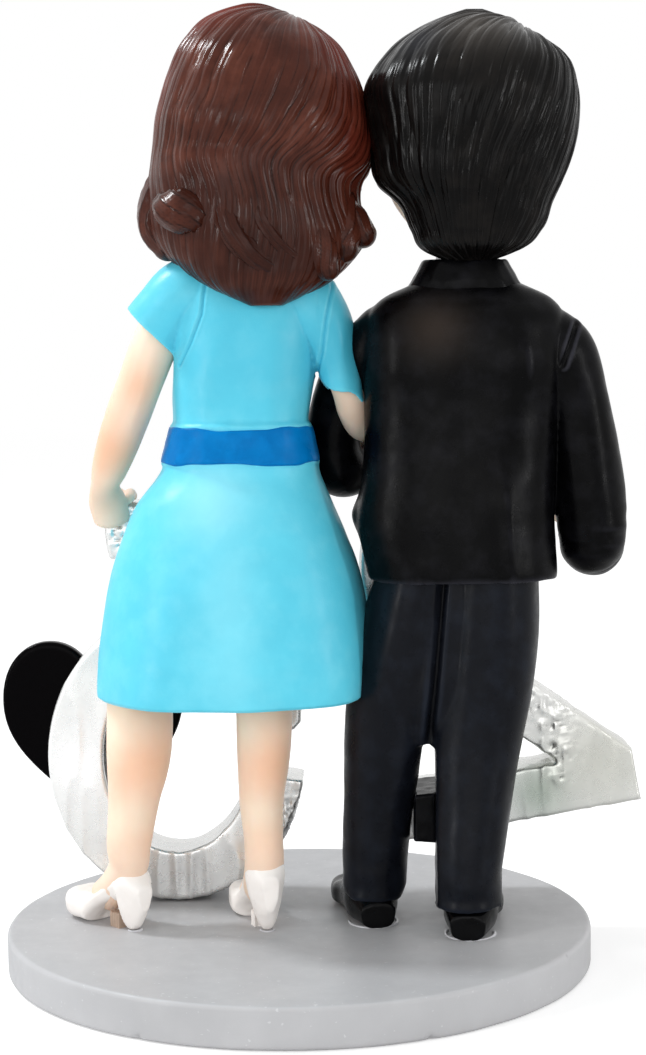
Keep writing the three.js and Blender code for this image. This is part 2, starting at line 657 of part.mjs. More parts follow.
addPart("bride_head", cut(headOf(brideFrame, brideNeckPlace), pinOf(brideNeckPlace, fit)), finish.skin);
addPart("bride_neck_pin", pinOf(brideNeckPlace), finish.steel);
sides.forEach((side) => addPart(`bride_eye_${side}`, moved(eyeBall(side), brideFrame), finish.eye));

const brideSleeveRooms = sides.map((side) => brideSleeve(side, fit));
const bodice = joined(brideTorso(), spigotRoom(0));
addPart("bride_bodice", cut(bodice, neckOf(brideNeckPlace, fit), pinOf(brideNeckPlace, fit)), finish.dress);
sides.forEach((side) => {
  const sleeve = cut(brideSleeve(side), torsoRoom, brideArmRooms[side], neckOf(brideNeckPlace, fit));
  addPart(`bride_sleeve_${side}`, sleeve, finish.dress);
  addPart(`bride_arm_${side}`, trimmed(brideArms[side], torsoRoom), finish.skin);
});

const brideFace = moved(faceOpening({ chin: -34, brow: 10.5, jaw: 9, cheek: 15.5, back: -5 }), brideFrame);
const brideHairWhole = joined(brideHairMass(), ...brideLocks.map((stations) => lockForm(stations)));
const brideHair = cut(brideHairWhole, skull(brideFrame, fit), neckOf(brideNeckPlace, 1.5), torsoRoom,
  ...brideSleeveRooms, brideFace);
addPart("bride_hair", brideHair, finish.brownHair);

// The groom's shoes and trousers

function brogueBody(grow = 0) {
  const rings = [];
  const { sides: around, steps } = shoeFacets;
  const tops = [4.5, brogue.heel, brogue.heel + 0.6, 7, brogue.toe + 0.4, brogue.toe, 2.4];
  const widths = [3.4, brogue.heelHalf, brogue.heelHalf, 4.7, brogue.halfWidth, 4.6, 2];
  for (let step = 0; step <= steps; step += 1) {
    const t = (step / steps) * (tops.length - 1);
    const top = smooth(tops, t) + grow;
    const half = smooth(widths, t) + grow;
    const end = step === 0 ? grow : step === steps ? -grow : 0;
    const ring = [];
    for (let i = 0; i < around; i += 1) {
      const turn = (2 * Math.PI * i) / around;
      const up = (bulge(Math.sin(turn), 3) + 1) / 2;
      const side = half * bulge(Math.cos(turn), 2.6);
      ring.push(new THREE.Vector3(side, -brogue.length * step / steps + end, top * up));
    }
    rings.push(ring);
  }
  return skin(rings);
}

const trouserCuff = 5;
const crotchTop = 33.6;
const trouserHips = [
  [crotchTop + 0.4, 6.9, 1, 5, 4.4, 5],
  [43, 5.2, 0, 13.4, 9, 9.6],
  [52.5, 2.8, 0, 15.6, 9.6, 10.8],
  [jacket.hem - 1.9, 1.5, 0, 14.8, 9.8, 10.6],
  [jacket.hem + 8.6, 1.2, 0, 13, 9, 9],
].map(([z, x, y, ...sizes]) => [z, groom.x + x, groom.y + y, ...sizes]);

const trouserLegs = {
  left: [[-13.8, 2.6, trouserCuff, 5.6, 6.4], [-14.2, 3, 12.5, 6.1, 6.6], [-15, 3.6, 22.5, 6.5, 6.9],
    [-16.2, 4.8, 33.5, 7.5, 7.9], [-17.6, 5.4, 43.5, 8, 9.6], [-19.8, 6, 54, 7.8, 11], [-22, 6, 66, 6.8, 11.6]],
  right: [[-30.4, 12, trouserCuff, 6.3, 7], [-30.5, 11.6, 12.5, 6.5, 7.2], [-31.6, 10.4, 22.5, 7.1, 7.5],
    [-32.5, 9, 33.5, 8.2, 8.1], [-33.8, 7.8, 43.5, 9, 9.6], [-35, 6.8, 54, 9.3, 11], [-35.6, 6.4, 66, 8.8, 11.6]],
};

function trousers(grow = 0) {
  const shape = { sides: 12, steps: 1, grow, domes: [false, false] };
  const legs = sides.map((side) => limb(trouserLegs[side], shape));
  return joined(stack(trouserHips, { sides: 20, steps: 1, power: 2.3, grow }), ...legs);
}

const crotch = (() => {
  const shape = new THREE.Shape();
  shape.moveTo(-24.7, -1);
  shape.lineTo(-19.8, -1);
  shape.quadraticCurveTo(-21, 20, -23, crotchTop - 1);
  shape.quadraticCurveTo(-24.2, crotchTop + 1, -25.2, crotchTop - 1);
  shape.quadraticCurveTo(-25.2, 20, -24.7, -1);
  shape.closePath();
  return solidOfGeometry(prism(shape, 30, 60));
})();

function groomPin(step, grow = 0) {
  const leg = trouserLegs[step.side][1];
  const foot = new THREE.Vector3(leg[0], leg[1], -peg.sink - grow);
  return rod(peg.radius + grow, foot, foot.clone().setZ(leg[2] + 8 + grow), 8);
}

const shoeFrames = groomSteps.map((step) => stepFrame(step));
const shoeRooms = groomSteps.map((step, i) => moved(brogueBody(fit), shoeFrames[i]));
const pinRooms = groomSteps.map((step) => groomPin(step, fit));
const trouserPiece = cut(trousers(), crotch, brideSkirt(fit), ...shoeRooms, ...pinRooms);
addPart("groom_trousers", trouserPiece, finish.trousers);
groomSteps.forEach((step, i) => {
  addPart(`groom_shoe_${step.side}`, cut(moved(brogueBody(), shoeFrames[i]), ...pinRooms), finish.blackShoe);
  addPart(`groom_leg_pin_${step.side}`, groomPin(step), finish.steel);
});

// The groom's jacket, with its collar and lapels over a shirt and tie

const upJacket = (share) => jacket.hem + share * (jacket.shoulder - jacket.hem);

const jacketRows = [
  [upJacket(0), 0.4, 0, 16.9, 13, 12],
  [upJacket(0.04), 0.6, 0, 17.2, 13.2, 12.2],
  [upJacket(0.21), 1.6, 0, 17.8, 13, 12.2],
  [upJacket(0.4), 0.9, 0, 17.3, 12, 11.4],
  [upJacket(0.6), 0.3, 0, 17.4, 12, 11.4],
  [upJacket(0.785), 0, 0, 18, 12.2, 11.8],
  [upJacket(0.93), -0.4, 0, 17.8, 11, 10.6],
  [jacket.shoulder, -0.6, 0, 15.6, 8.8, 8.4],
  [jacket.shoulder + 2.6, -0.6, 0, 10.8, 6.8, 6.6],
  [jacket.shoulder + 4, -0.6, 0, 7.4, 5.8, 5.8],
].map(([z, x, y, ...sizes]) => [z, groom.x + x, groom.y + y, ...sizes]);

function groomTorso(grow = 0) {
  return stack(jacketRows, { sides: 26, steps: 1, power: 2.5, grow });
}

const chest = { foot: upJacket(0.54), neckHalf: 6.4, top: jacket.shoulder + 6 };
const chestX = groom.x - 0.3;

const chestPrism = (shape) => solidOfGeometry(prism(shape, groom.y - 3, 30));

function vee(grow = 0) {
  const shape = new THREE.Shape();
  shape.moveTo(chestX, chest.foot - grow);
  shape.lineTo(chestX + chest.neckHalf + grow, chest.top);
  shape.lineTo(chestX - chest.neckHalf - grow, chest.top);
  shape.closePath();
  return chestPrism(shape);
}

function lapelOutline(way) {
  const inner = chest.neckHalf * way;
  const shape = new THREE.Shape();
  shape.moveTo(chestX + 0.25 * way, chest.foot + 1);
  shape.lineTo(chestX + inner + 0.25 * way, chest.top - 5);
  shape.lineTo(chestX + inner + 2.6 * way, chest.top - 8);
  shape.lineTo(chestX + inner + 1.4 * way, chest.top - 9.8);
  shape.lineTo(chestX + inner + 3.4 * way, chest.top - 10.6);
  shape.quadraticCurveTo(chestX + inner + 1.4 * way, chest.foot + 9, chestX + 0.25 * way, chest.foot + 1);
  return chestPrism(shape);
}

function tieOutline() {
  const shape = new THREE.Shape();
  const knot = chest.top - 5.6;
  shape.moveTo(chestX - 1.9, knot);
  shape.lineTo(chestX + 1.9, knot);
  shape.lineTo(chestX + 1.1, knot - 3.4);
  shape.lineTo(chestX + 1.5, knot - 5);
  shape.lineTo(chestX, chest.foot + 1.6);
  shape.lineTo(chestX - 1.5, knot - 5);
  shape.lineTo(chestX - 1.1, knot - 3.4);
  shape.closePath();
  return chestPrism(shape);
}

const sleevePaths = {
  left: [[-17.5, 5.4, 107, 6.4, 6.4], [-13.4, 2.4, 103, 6.2, 6.2], [-9.4, -2.6, 96.4, 5.5, 5.6],
    [-7.6, -5, 89, 5.1, 5.4], [-8.8, -6.6, 83.4, 5.3, 5.2], [-12.4, -11.6, 83.6, 4.7, 4.7],
    [-17, -15.6, 86, 4.2, 4.2]],
  right: [[-44.5, 6, 107, 6.6, 6.6], [-48.6, 6, 103.6, 6.6, 6.8], [-51.2, 5.6, 96, 6.1, 6.6],
    [-52.8, 5.2, 87, 6.3, 6.6], [-54, 4.8, 77.5, 6.4, 6.6], [-54.6, 3.4, 70, 5.9, 6.2],
    [-55, -3, 68.8, 5.1, 5.1], [-54, -9, 70.6, 4.5, 4.5]],
};

function groomSleeve(side, grow = 0) {
  const shape = { sides: 12, steps: 1, grow, toward: [0.25, 1, 0.35], domes: [true, false] };
  return limb(sleevePaths[side], shape);
}

function pathEnd(stations) {
  const [before, end] = stations.slice(-2).map(([x, y, z]) => new THREE.Vector3(x, y, z));
  return { end, way: end.clone().sub(before).normalize(), radius: stations[stations.length - 1][3] };
}

function cuffOf(side, grow = 0) {
  const { end, way, radius } = pathEnd(sleevePaths[side]);
  const start = end.clone().addScaledVector(way, fit - grow);
  return rod(radius - cuff.inset + grow, start, end.clone().addScaledVector(way, cuff.length + grow), 12);
}

function groomHand(side, grow = 0) {
  const { end, way } = pathEnd(sleevePaths[side]);
  const sideways = new THREE.Vector3(-way.y, way.x, 0).normalize();
  const station = (along, lift, across, wide, deep) => {
    const point = end.clone().addScaledVector(way, along).addScaledVector(sideways, across);
    return [point.x, point.y, point.z + lift, wide, deep];
  };
  const palm = limb([
    station(2.1, 0, 0, 2.2, 2),
    station(4.4, 0.2, 0, 2.9, 1.9),
    station(7.2, 0, 0, 3, 1.7),
  ], { sides: 8, steps: 1, grow, toward: [0, 0, 1] });
  const fingers = [-2.3, -0.8, 0.8, 2.3].map((across) => limb([
    station(7, 0, across, 0.95, 0.95),
    station(9.6, -0.2, across, 0.95, 0.95),
    station(11.4, -1, across, 0.85, 0.85),
  ], { sides: 5, steps: 1, grow, toward: [0, 0, 1] }));
  return joined(palm, ...fingers);
}

const collar = { foot: jacket.shoulder + 1.6, top: jacket.shoulder + 7.4 };

function collarBand(grow = 0) {
  return stack([
    [collar.foot, groom.x - 0.6, groom.y, 11.4, 7.4, 7],
    [collar.foot + 2, groom.x - 0.6, groom.y, 9.8, 7.4, 6.8],
    [collar.top, groom.x - 0.6, groom.y - 0.4, 7.6, 6.4, 6],
  ], { sides: 20, steps: 1, grow });
}

const shirtBand = (grow) => limb([
  [groomHead.x + 1, groomHead.y + 2.5, collar.foot - 2, neck.radius + 1.3, neck.radius + 1.1],
  [groomHead.x + 0.6, groomHead.y + 2, collar.top + 0.9, neck.radius + 1.1, neck.radius + 0.9],
], { sides: 16, steps: 1, grow, domes: [false, false] });

const torsoFence = groomTorso(fit);
const groomNeckRoom = neckOf(groomNeckPlace, fit);
const groomPinRoom = pinOf(groomNeckPlace, fit);
const shirtInset = 0.9;
const tieRise = 0.5;
const jacketBody = cut(groomTorso(), vee(), trousers(fit), shirtBand(fit), groomPinRoom, collarBand(fit),
  brideArmRooms.right);
addPart("groom_jacket", jacketBody, finish.suit);

const shirtFront = groomTorso(-shirtInset).intersect(vee(-fit));
const shirt = cut(joined(shirtFront, shirtBand(0)), groomNeckRoom, groomPinRoom);
addPart("groom_shirt", shirt, finish.shirt);

const tieFront = groomTorso(tieRise).intersect(tieOutline());
const tieSlab = cut(tieFront, groomTorso(fit - shirtInset), shirtBand(fit));
addPart("groom_tie", tieSlab, finish.tie);

sides.forEach((side) => {
  const way = side === "left" ? 1 : -1;
  const lapel = cut(groomTorso(jacket.lapel).intersect(lapelOutline(way)), torsoFence, vee(fit),
    shirtBand(fit), collarBand(fit), tieSlab);
  addPart(`groom_lapel_${side}`, lapel, finish.suit);
});

const collarFront = (() => {
  const shape = new THREE.Shape();
  shape.moveTo(chestX - 4.2, collar.foot - 4);
  shape.lineTo(chestX + 4.2, collar.foot - 4);
  shape.lineTo(chestX + 4.8, collar.top + 3);
  shape.lineTo(chestX - 4.8, collar.top + 3);
  shape.closePath();
  return chestPrism(shape);
})();
const shirtRoom = groomTorso(fit - shirtInset).intersect(vee());
addPart("groom_collar", cut(collarBand(), shirtBand(fit), shirtRoom, collarFront), finish.suit);

// Where the jacket's front lies at a height
function jacketFront(height) {
  const i = jacketRows.findIndex((row) => row[0] > height) - 1;
  const [low, high] = [jacketRows[i], jacketRows[i + 1]];
  const share = (height - low[0]) / (high[0] - low[0]);
  return THREE.MathUtils.lerp(low[2] - low[5], high[2] - high[5], share);
}

button.drops.forEach((drop, i) => {
  const form = ball(0, 0, 0, button.radius, button.thick, button.radius, 8);
  const mesh = addPart(`groom_jacket_button_${i + 1}`, form, finish.blackShoe);
  const height = chest.foot - drop;
  mesh.position.set(chestX, jacketFront(height) - button.thick - fit, height);
});

sides.forEach((side) => {
  const rooms = [torsoFence, brideArm("right", 2 * fit), brideSkirt(fit), ...brideSleeveRooms];
  const sleeve = trimmed(groomSleeve(side), ...rooms);
  addPart(`groom_sleeve_${side}`, sleeve, finish.suit);
  addPart(`groom_cuff_${side}`, cut(cuffOf(side), groomHand(side, fit), brideArmRooms.right), finish.shirt);
  addPart(`groom_hand_${side}`, groomHand(side), finish.skin);
});

// The groom's head and hair

addPart("groom_head", cut(headOf(groomFrame, groomNeckPlace), groomPinRoom), finish.skin);
addPart("groom_neck_pin", pinOf(groomNeckPlace), finish.steel);
sides.forEach((side) => addPart(`groom_eye_${side}`, moved(eyeBall(side), groomFrame), finish.eye));

const groomFace = moved(faceOpening({ chin: -40, brow: 10, jaw: 15, cheek: 17.5, back: -4 }), groomFrame);
const lockRooms = brideLocks.map((stations) => lockForm(stations, fit));
const groomHair = cut(groomHairMass(), skull(groomFrame, fit), neckOf(groomNeckPlace, fit), collarBand(fit),
  shirtBand(fit), groomFace, brideHairMass(fit), ...lockRooms);
addPart("groom_hair", groomHair, finish.blackHair);

// The numerals, the block that carries the 2, and the heart

function fiveOutline() {
  const holeHalf = five.half - five.stroke;
  const holeRise = five.rise - five.footStroke;
  const left = five.x - five.half + five.stemInset;
  const stem = left + five.stemThick;
  const z = five.rise + fit;
  const meet = Math.PI - Math.acos((five.x - stem) / five.half);
  const tail = -170 * degrees;
  const start = 154 * degrees;
  const shape = new THREE.Shape();
  shape.moveTo(left, five.stemFoot);
  shape.lineTo(left, five.height);
  shape.lineTo(left + five.width, five.height);
  shape.lineTo(left + five.width - 1, five.height - five.barThick);
  shape.lineTo(stem, five.height - five.barThick);
  shape.lineTo(stem, z + five.rise * Math.sin(meet));
  shape.absellipse(five.x, z, five.half, five.rise, meet, tail, true);
  shape.lineTo(five.x + holeHalf * Math.cos(tail), z + holeRise * Math.sin(tail));
  shape.absellipse(five.x, z, holeHalf, holeRise, tail, start, false);
  shape.lineTo(left + 1.6, five.stemFoot - 1.8);
  shape.closePath();
  return shape;
}

function twoOutline() {
  const inner = two.outer - two.stroke;
  const middle = two.width / 2;
  const join = (two.slope - 90) * degrees;
  const tip = two.tip * degrees;
  const rise = Math.tan(two.slope * degrees);
  const onRing = (radius, angle) => [middle + radius * Math.cos(angle), two.rise + radius * Math.sin(angle)];
  const [innerX, innerZ] = onRing(inner, join);
  const [outerX, outerZ] = onRing(two.outer, join);
  const shape = new THREE.Shape();
  shape.moveTo(0, 0);
  shape.lineTo(two.width, 0);
  shape.lineTo(two.width, two.stroke);
  shape.lineTo(outerX - (outerZ - two.stroke) / rise, two.stroke);
  shape.lineTo(outerX, outerZ);
  shape.absarc(middle, two.rise, two.outer, join, tip, false);
  shape.lineTo(...onRing(inner, tip));
  shape.absarc(middle, two.rise, inner, tip, join, true);
  shape.lineTo(0, innerZ - innerX * rise);
  shape.closePath();
  return shape;
}

function heartOutline() {
  const { width, height } = heart;
  const shape = new THREE.Shape();
  shape.moveTo(0, 0);
  shape.bezierCurveTo(width * 0.28, height * 0.24, width * 0.5, height * 0.4, width * 0.5, height * 0.68);
  shape.bezierCurveTo(width * 0.5, height * 1.08, width * 0.1, height * 1.12, 0, height * 0.84);
  shape.bezierCurveTo(-width * 0.1, height * 1.12, -width * 0.5, height * 1.08, -width * 0.5, height * 0.68);
  shape.bezierCurveTo(-width * 0.5, height * 0.4, -width * 0.28, height * 0.24, 0, 0);
  return shape;
}

const fivePegs = [-4.5, 4.5].map((across) => [five.x + across, five.back - five.thick / 2]);
const pegRod = ([x, y], grow) => {
  const foot = new THREE.Vector3(x, y, -peg.sink - grow);
  return rod(peg.radius + grow, foot, foot.clone().setZ(peg.reach + grow), 8);
};
const fivePegRooms = fivePegs.map((at) => pegRod(at, fit));
const fiveSolid = solidOfGeometry(prism(fiveOutline(), five.back, five.thick, 0.6, 14));
addPart("number_5", cut(fiveSolid, brideArmRooms.left, ...fivePegRooms), finish.silver);
fivePegs.forEach((at, i) => addPart(`number_5_peg_${i + 1}`, pegRod(at, 0), finish.steel));

const twoFrame = new THREE.Matrix4().makeRotationY(two.tilt * degrees).setPosition(two.x, 0, two.foot);
const twoSolid = moved(solidOfGeometry(prism(twoOutline(), two.back, two.thick, 0.6, 12)), twoFrame);
const handRooms = sides.flatMap((side) => [groomHand(side, fit), cuffOf(side, fit), groomSleeve(side, fit)]);
addPart("number_2", cut(twoSolid, ...handRooms), finish.silver);

const blockSolid = (() => {
  const shape = new THREE.Shape();
  shape.moveTo(-block.width / 2, -block.height / 2);
  shape.lineTo(block.width / 2, -block.height / 2 + 0.6);
  shape.lineTo(block.width / 2, block.height / 2 - 0.6);
  shape.lineTo(-block.width / 2, block.height / 2);
  shape.closePath();
  const geometry = prism(shape, block.back, block.back - block.front, 0.4);
  geometry.translate(block.x, 0, block.z);
  return solidOfGeometry(geometry);
})();
addPart("number_2_mount_block", cut(blockSolid, cut(trousers(fit), crotch)), finish.suit);

const heartMesh = addPart("heart_plaque", prism(heartOutline(), 0, heart.thick, 0.7), finish.heart);
heartMesh.position.set(heart.x, five.back - five.thick - fit, heart.tip);

// The plate, turned on its axis, with a socket for each peg and pin

const plateProfile = [
  [0, 0],
  [plate.radius - 0.4, 0],
  [plate.radius, 0.4],
  [plate.radius, plate.thickness - plate.edge],
  [plate.radius - plate.edge, plate.thickness],
  [0, plate.thickness],
].map(([across, up]) => new THREE.Vector2(across, up));
const disc = new THREE.LatheGeometry(plateProfile, plate.sides);
disc.rotateX(Math.PI / 2);
const down = new THREE.Matrix4().makeTranslation(0, 0, plate.thickness);
const supportSockets = brideSteps.map((step) => {
  const across = archPost.width + 2 * fit;
  const socket = new THREE.BoxGeometry(across, archPost.deep + 2 * fit, 2 * (peg.sink + fit));
  socket.translate(0, -archPost.along, 0);
  return moved(solidOfGeometry(socket), stepFrame(step));
});
const sockets = [...supportSockets, ...pinRooms, ...fivePegRooms].map((each) => moved(each, down));
addPart("base_plate", cut(solidOfGeometry(disc), ...sockets), finish.plate, figurine);

export default figurine;
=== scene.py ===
import math
import bpy
import numpy as np
from mathutils import Matrix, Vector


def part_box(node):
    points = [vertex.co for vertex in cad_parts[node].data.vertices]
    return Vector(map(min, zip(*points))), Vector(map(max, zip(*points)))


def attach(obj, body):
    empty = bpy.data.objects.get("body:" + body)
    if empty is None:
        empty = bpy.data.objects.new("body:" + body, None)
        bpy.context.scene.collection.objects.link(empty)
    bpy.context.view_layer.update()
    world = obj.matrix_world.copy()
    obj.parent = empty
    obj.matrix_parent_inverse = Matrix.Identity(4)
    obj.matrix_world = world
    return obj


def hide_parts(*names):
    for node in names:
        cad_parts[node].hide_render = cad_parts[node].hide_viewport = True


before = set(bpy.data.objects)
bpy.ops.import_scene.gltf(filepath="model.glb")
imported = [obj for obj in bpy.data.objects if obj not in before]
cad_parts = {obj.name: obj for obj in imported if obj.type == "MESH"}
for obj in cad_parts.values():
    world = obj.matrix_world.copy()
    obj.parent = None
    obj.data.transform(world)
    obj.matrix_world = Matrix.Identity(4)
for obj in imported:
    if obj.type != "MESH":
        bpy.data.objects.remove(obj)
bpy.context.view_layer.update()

# Lengths are in millimetres, and heights are above the plate's top, until a piece is made
MM = 0.001
PLATE_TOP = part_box("base_plate")[1].z / MM
BRIDE = (9.0, 3.0)
GROOM = (-31.0, 6.0)


# Scene helpers

def linked(name, data):
    """An object in the scene that holds the data."""
    holder = bpy.data.objects.new(name, data)
    bpy.context.collection.objects.link(holder)
    return holder


def stand(holder, right, up, back, at):
    """Places an object by its axes and its origin."""
    matrix = np.eye(4)
    matrix[:3] = np.stack([right, up, back, at], -1)
    holder.matrix_world = Matrix(matrix.tolist())


# Camera, at the photograph's place and angle

def set_camera():
    focal_px, picture_height, sensor = 2045.0, 1055.0, 36.0
    pitch, roll = math.radians(4.68), math.radians(-0.87)
    right = np.array([-1.0, 0.0, 0.0])
    ahead = np.array([0.0, -math.cos(pitch), -math.sin(pitch)])
    up = np.cross(right, ahead)
    c, s = math.cos(roll), math.sin(roll)
    right, up = c * right + s * up, c * up - s * right
    camera = bpy.data.cameras.new("camera")
    camera.sensor_fit = "VERTICAL"
    camera.sensor_height = sensor
    camera.lens = focal_px / picture_height * sensor
    camera.clip_start = 0.01
    place_m = (-0.0055, 0.375, 0.111)
    holder = linked("camera", camera)
    stand(holder, right, up, -ahead, place_m)
    bpy.context.scene.camera = holder


# Noise and curves

def noise(points, size, seed=0):
    """Smooth noise from -1 to 1, whose knots lie a size apart (one number, or one for each axis)."""
    scaled = np.asarray(points) / size + 37.3 * (seed + 1)
    base = np.floor(scaled).astype(np.int64)
    part = scaled - base
    ease = part * part * (3 - 2 * part)
    total = np.zeros(len(scaled))
    for corner in range(8):
        step = np.array([corner & 1, corner >> 1 & 1, corner >> 2 & 1])
        knot = base + step
        key = knot[:, 0] * 374761393 + knot[:, 1] * 668265263 + knot[:, 2] * 1440662683 + seed * 974634777
        key = (key ^ (key >> 13)) * 1274126177
        value = ((key ^ (key >> 16)) & 0xFFFF) / 32767.5 - 1
        total += value * np.prod(np.where(step, ease, 1 - ease), axis=1)
    return total


def ease_between(low, high, value):
    """0 at low and 1 at high, on a smooth curve."""
    t = np.clip((value - low) / (high - low), 0, 1)
    return t * t * (3 - 2 * t)


def spline(keys, values, at):
    """Values at a place along the keys, on a smooth curve through the given ones."""
    keys = np.asarray(keys, float)
    values = np.asarray(values, float)
    slopes = np.gradient(values, keys, axis=0)
    at = np.clip(at, keys[0], keys[-1])
    i = np.clip(np.searchsorted(keys, at, side="right") - 1, 0, len(keys) - 2)
    gap = (keys[i + 1] - keys[i])[:, None]
    t = (at - keys[i])[:, None] / gap
    start = (1 + 2 * t) * (1 - t) ** 2 * values[i] + t * t * (3 - 2 * t) * values[i + 1]
    return start + gap * t * (1 - t) * ((1 - t) * slopes[i] - t * slopes[i + 1])


def bell(value):
    """1 at nought, falling to next to nothing at 2 on both sides."""
    return np.exp(-value ** 2)


def around(count):
    """Angles spread evenly over a full turn."""
    return np.linspace(0, 2 * np.pi, count, endpoint=False)


def bulge(value, power):
    """A sine or cosine that swells towards the corners of its square as the power grows from 2."""
    return np.sign(value) * np.abs(value) ** (2 / power)


def unit(vector):
    vector = np.asarray(vector, float)
    return vector / np.linalg.norm(vector, axis=-1, keepdims=True)


# Forms: closed surfaces held as arrays until they become pieces

class Form:
    def __init__(self, points, faces):
        self.points = np.asarray(points, float)
        self.faces = faces
        self.marks = {}

    def pairs(self):
        return np.concatenate([np.stack([f, np.roll(f, -1, 1)], -1).reshape(-1, 2) for f in self.faces]).T

    def normals(self):
        total = np.zeros_like(self.points)
        for face in self.faces:
            corners = self.points[face]
            across = corners[:, 2] - corners[:, 0]
            other = corners[:, 3] - corners[:, 1] if face.shape[1] == 4 else corners[:, 2] - corners[:, 1]
            way = np.cross(across, other)
            for column in face.T:
                for axis in range(3):
                    total[:, axis] += np.bincount(column, way[:, axis], len(total))
        return total / np.maximum(np.linalg.norm(total, axis=1, keepdims=True), 1e-12)

    def mean_around(self, values, pairs):
        a, b = pairs
        count = np.maximum(np.bincount(a, minlength=len(values)), 1)
        totals = [np.bincount(a, column, len(values)) for column in values[b].T]
        return np.stack(totals, -1) / count[:, None]

    def soften(self, times):
        pairs = self.pairs()
        for _ in range(times):
            self.points += 0.5 * (self.mean_around(self.points, pairs) - self.points)
        return self

    def away(self, at):
        """Distance of each point from a place."""
        return np.linalg.norm(self.points - at, axis=1)

    def push(self, amount):
        self.points += self.normals() * np.asarray(amount).reshape(-1, 1)
        return self

    def mark_relief(self, times, full):
        """Marks from 0 in a groove to 1 on a ridge; full is the depth that counts as all."""
        pairs = self.pairs()
        even = self.points
        for _ in range(times):
            even = even + 0.7 * (self.mean_around(even, pairs) - even)
        proud = ((self.points - even) * self.normals()).sum(1)
        self.marks["relief"] = np.clip(0.5 + 0.5 * proud / full, 0, 1)
        return self


def closed(grid):
    """A form from rings of points, closed at both ends."""
    rings, sides = grid.shape[:2]
    row = np.arange(rings - 1)[:, None] * sides
    here = np.arange(sides)
    after = (here + 1) % sides
    above = row + sides
    quads = np.stack([row + here, row + after, above + after, above + here], -1).reshape(-1, 4)
    foot, tip = rings * sides, rings * sides + 1
    top = (rings - 1) * sides
    fans = np.concatenate([
        np.stack([np.full(sides, foot), after, here], -1),
        np.stack([np.full(sides, tip), top + here, top + after], -1),
    ])
    points = np.concatenate([grid.reshape(-1, 3), [grid[0].mean(0)], [grid[-1].mean(0)]])
    return Form(points, [quads, fans])


def placed(rows, at):
    """Rows measured from a figure's middle, set where the figure stands."""
    return [[z, at[0] + x, at[1] + y, *rest] for z, x, y, *rest in rows]


def stack(rows, rings, sides, power=2.3):
    """Level rings through rows of height, x, y, half width, depth back and depth front."""
    rows = np.asarray(rows, float)
    share = np.linspace(0, len(rows) - 1, rings)
    z, x, y, half, back, front = spline(np.arange(len(rows)), rows, share).T[:, :, None]
    turn = around(sides)
    across, along = bulge(np.cos(turn), power), bulge(np.sin(turn), power)
    depth = np.where(along > 0, back, front)
    return np.stack([x + half * across, y + depth * along, z + 0 * across], -1)


def limb(stations, rings, sides, toward=(0, 1, 0), domes=(True, True)):
    """A tapering limb along a smooth path; each station is x, y, z, half width and half depth."""
    stations = np.asarray(stations, float)
    keys = np.arange(len(stations))
    share = np.linspace(0, len(stations) - 1, rings)
    rows = spline(keys, stations, share)
    way = unit(np.gradient(rows[:, :3], axis=0))
    shrink, shift = np.ones(rings), np.zeros(rings)
    for end, wanted in enumerate(domes):
        if not wanted:
            continue
        steps = 7
        angles = np.linspace(84, 12, steps) * np.pi / 180
        if end == 0:
            rows = np.concatenate([np.repeat(rows[:1], steps, 0), rows])
            way = np.concatenate([np.repeat(way[:1], steps, 0), way])
            shrink = np.concatenate([np.cos(angles), shrink])
            shift = np.concatenate([-np.sin(angles), shift])
        else:
            rows = np.concatenate([rows, np.repeat(rows[-1:], steps, 0)])
            way = np.concatenate([way, np.repeat(way[-1:], steps, 0)])
            shrink = np.concatenate([shrink, np.cos(angles[::-1])])
            shift = np.concatenate([shift, np.sin(angles[::-1])])
    toward = np.asarray(toward, float)
    deep_way = unit(toward - way * (way @ toward)[:, None])
    wide_way = np.cross(way, deep_way)
    wide, deep = rows[:, 3:4], rows[:, 4:5]
    centre = rows[:, :3] + way * (shift[:, None] * np.minimum(wide, deep))
    c, s = np.cos(around(sides)), np.sin(around(sides))
    out = centre[:, None] + (shrink[:, None] * wide)[:, :, None] * wide_way[:, None] * c[None, :, None]
    return out + (shrink[:, None] * deep)[:, :, None] * deep_way[:, None] * s[None, :, None]


def ball(x, y, z, rx, ry, rz):
    """Rings of a ball, or of an oval one, round its middle."""
    rings = 20
    polar = (np.arange(rings) + 0.5) / rings * np.pi
    turn = around(32)
    ring = np.sin(polar)[:, None]
    return np.stack([x + rx * ring * np.cos(turn), y + ry * ring * np.sin(turn),
                     z - rz * np.cos(polar)[:, None] + 0 * turn], -1)


def plain_mesh(name, form, scale=1.0, lift=0.0):
    """A mesh of a form, lifted and then scaled."""
    mesh = bpy.data.meshes.new(name)
    points = (form.points + [0, 0, lift]) * scale
    mesh.vertices.add(len(points))
    mesh.vertices.foreach_set("co", points.astype(np.float32).ravel())
    corners = np.concatenate([face.ravel() for face in form.faces]).astype(np.int32)
    counts = np.concatenate([np.full(len(face), face.shape[1]) for face in form.faces])
    mesh.loops.add(len(corners))
    mesh.loops.foreach_set("vertex_index", corners)
    mesh.polygons.add(len(counts))
    mesh.polygons.foreach_set("loop_start", (np.cumsum(counts) - counts).astype(np.int32))
    mesh.update(calc_edges=True)
    return mesh


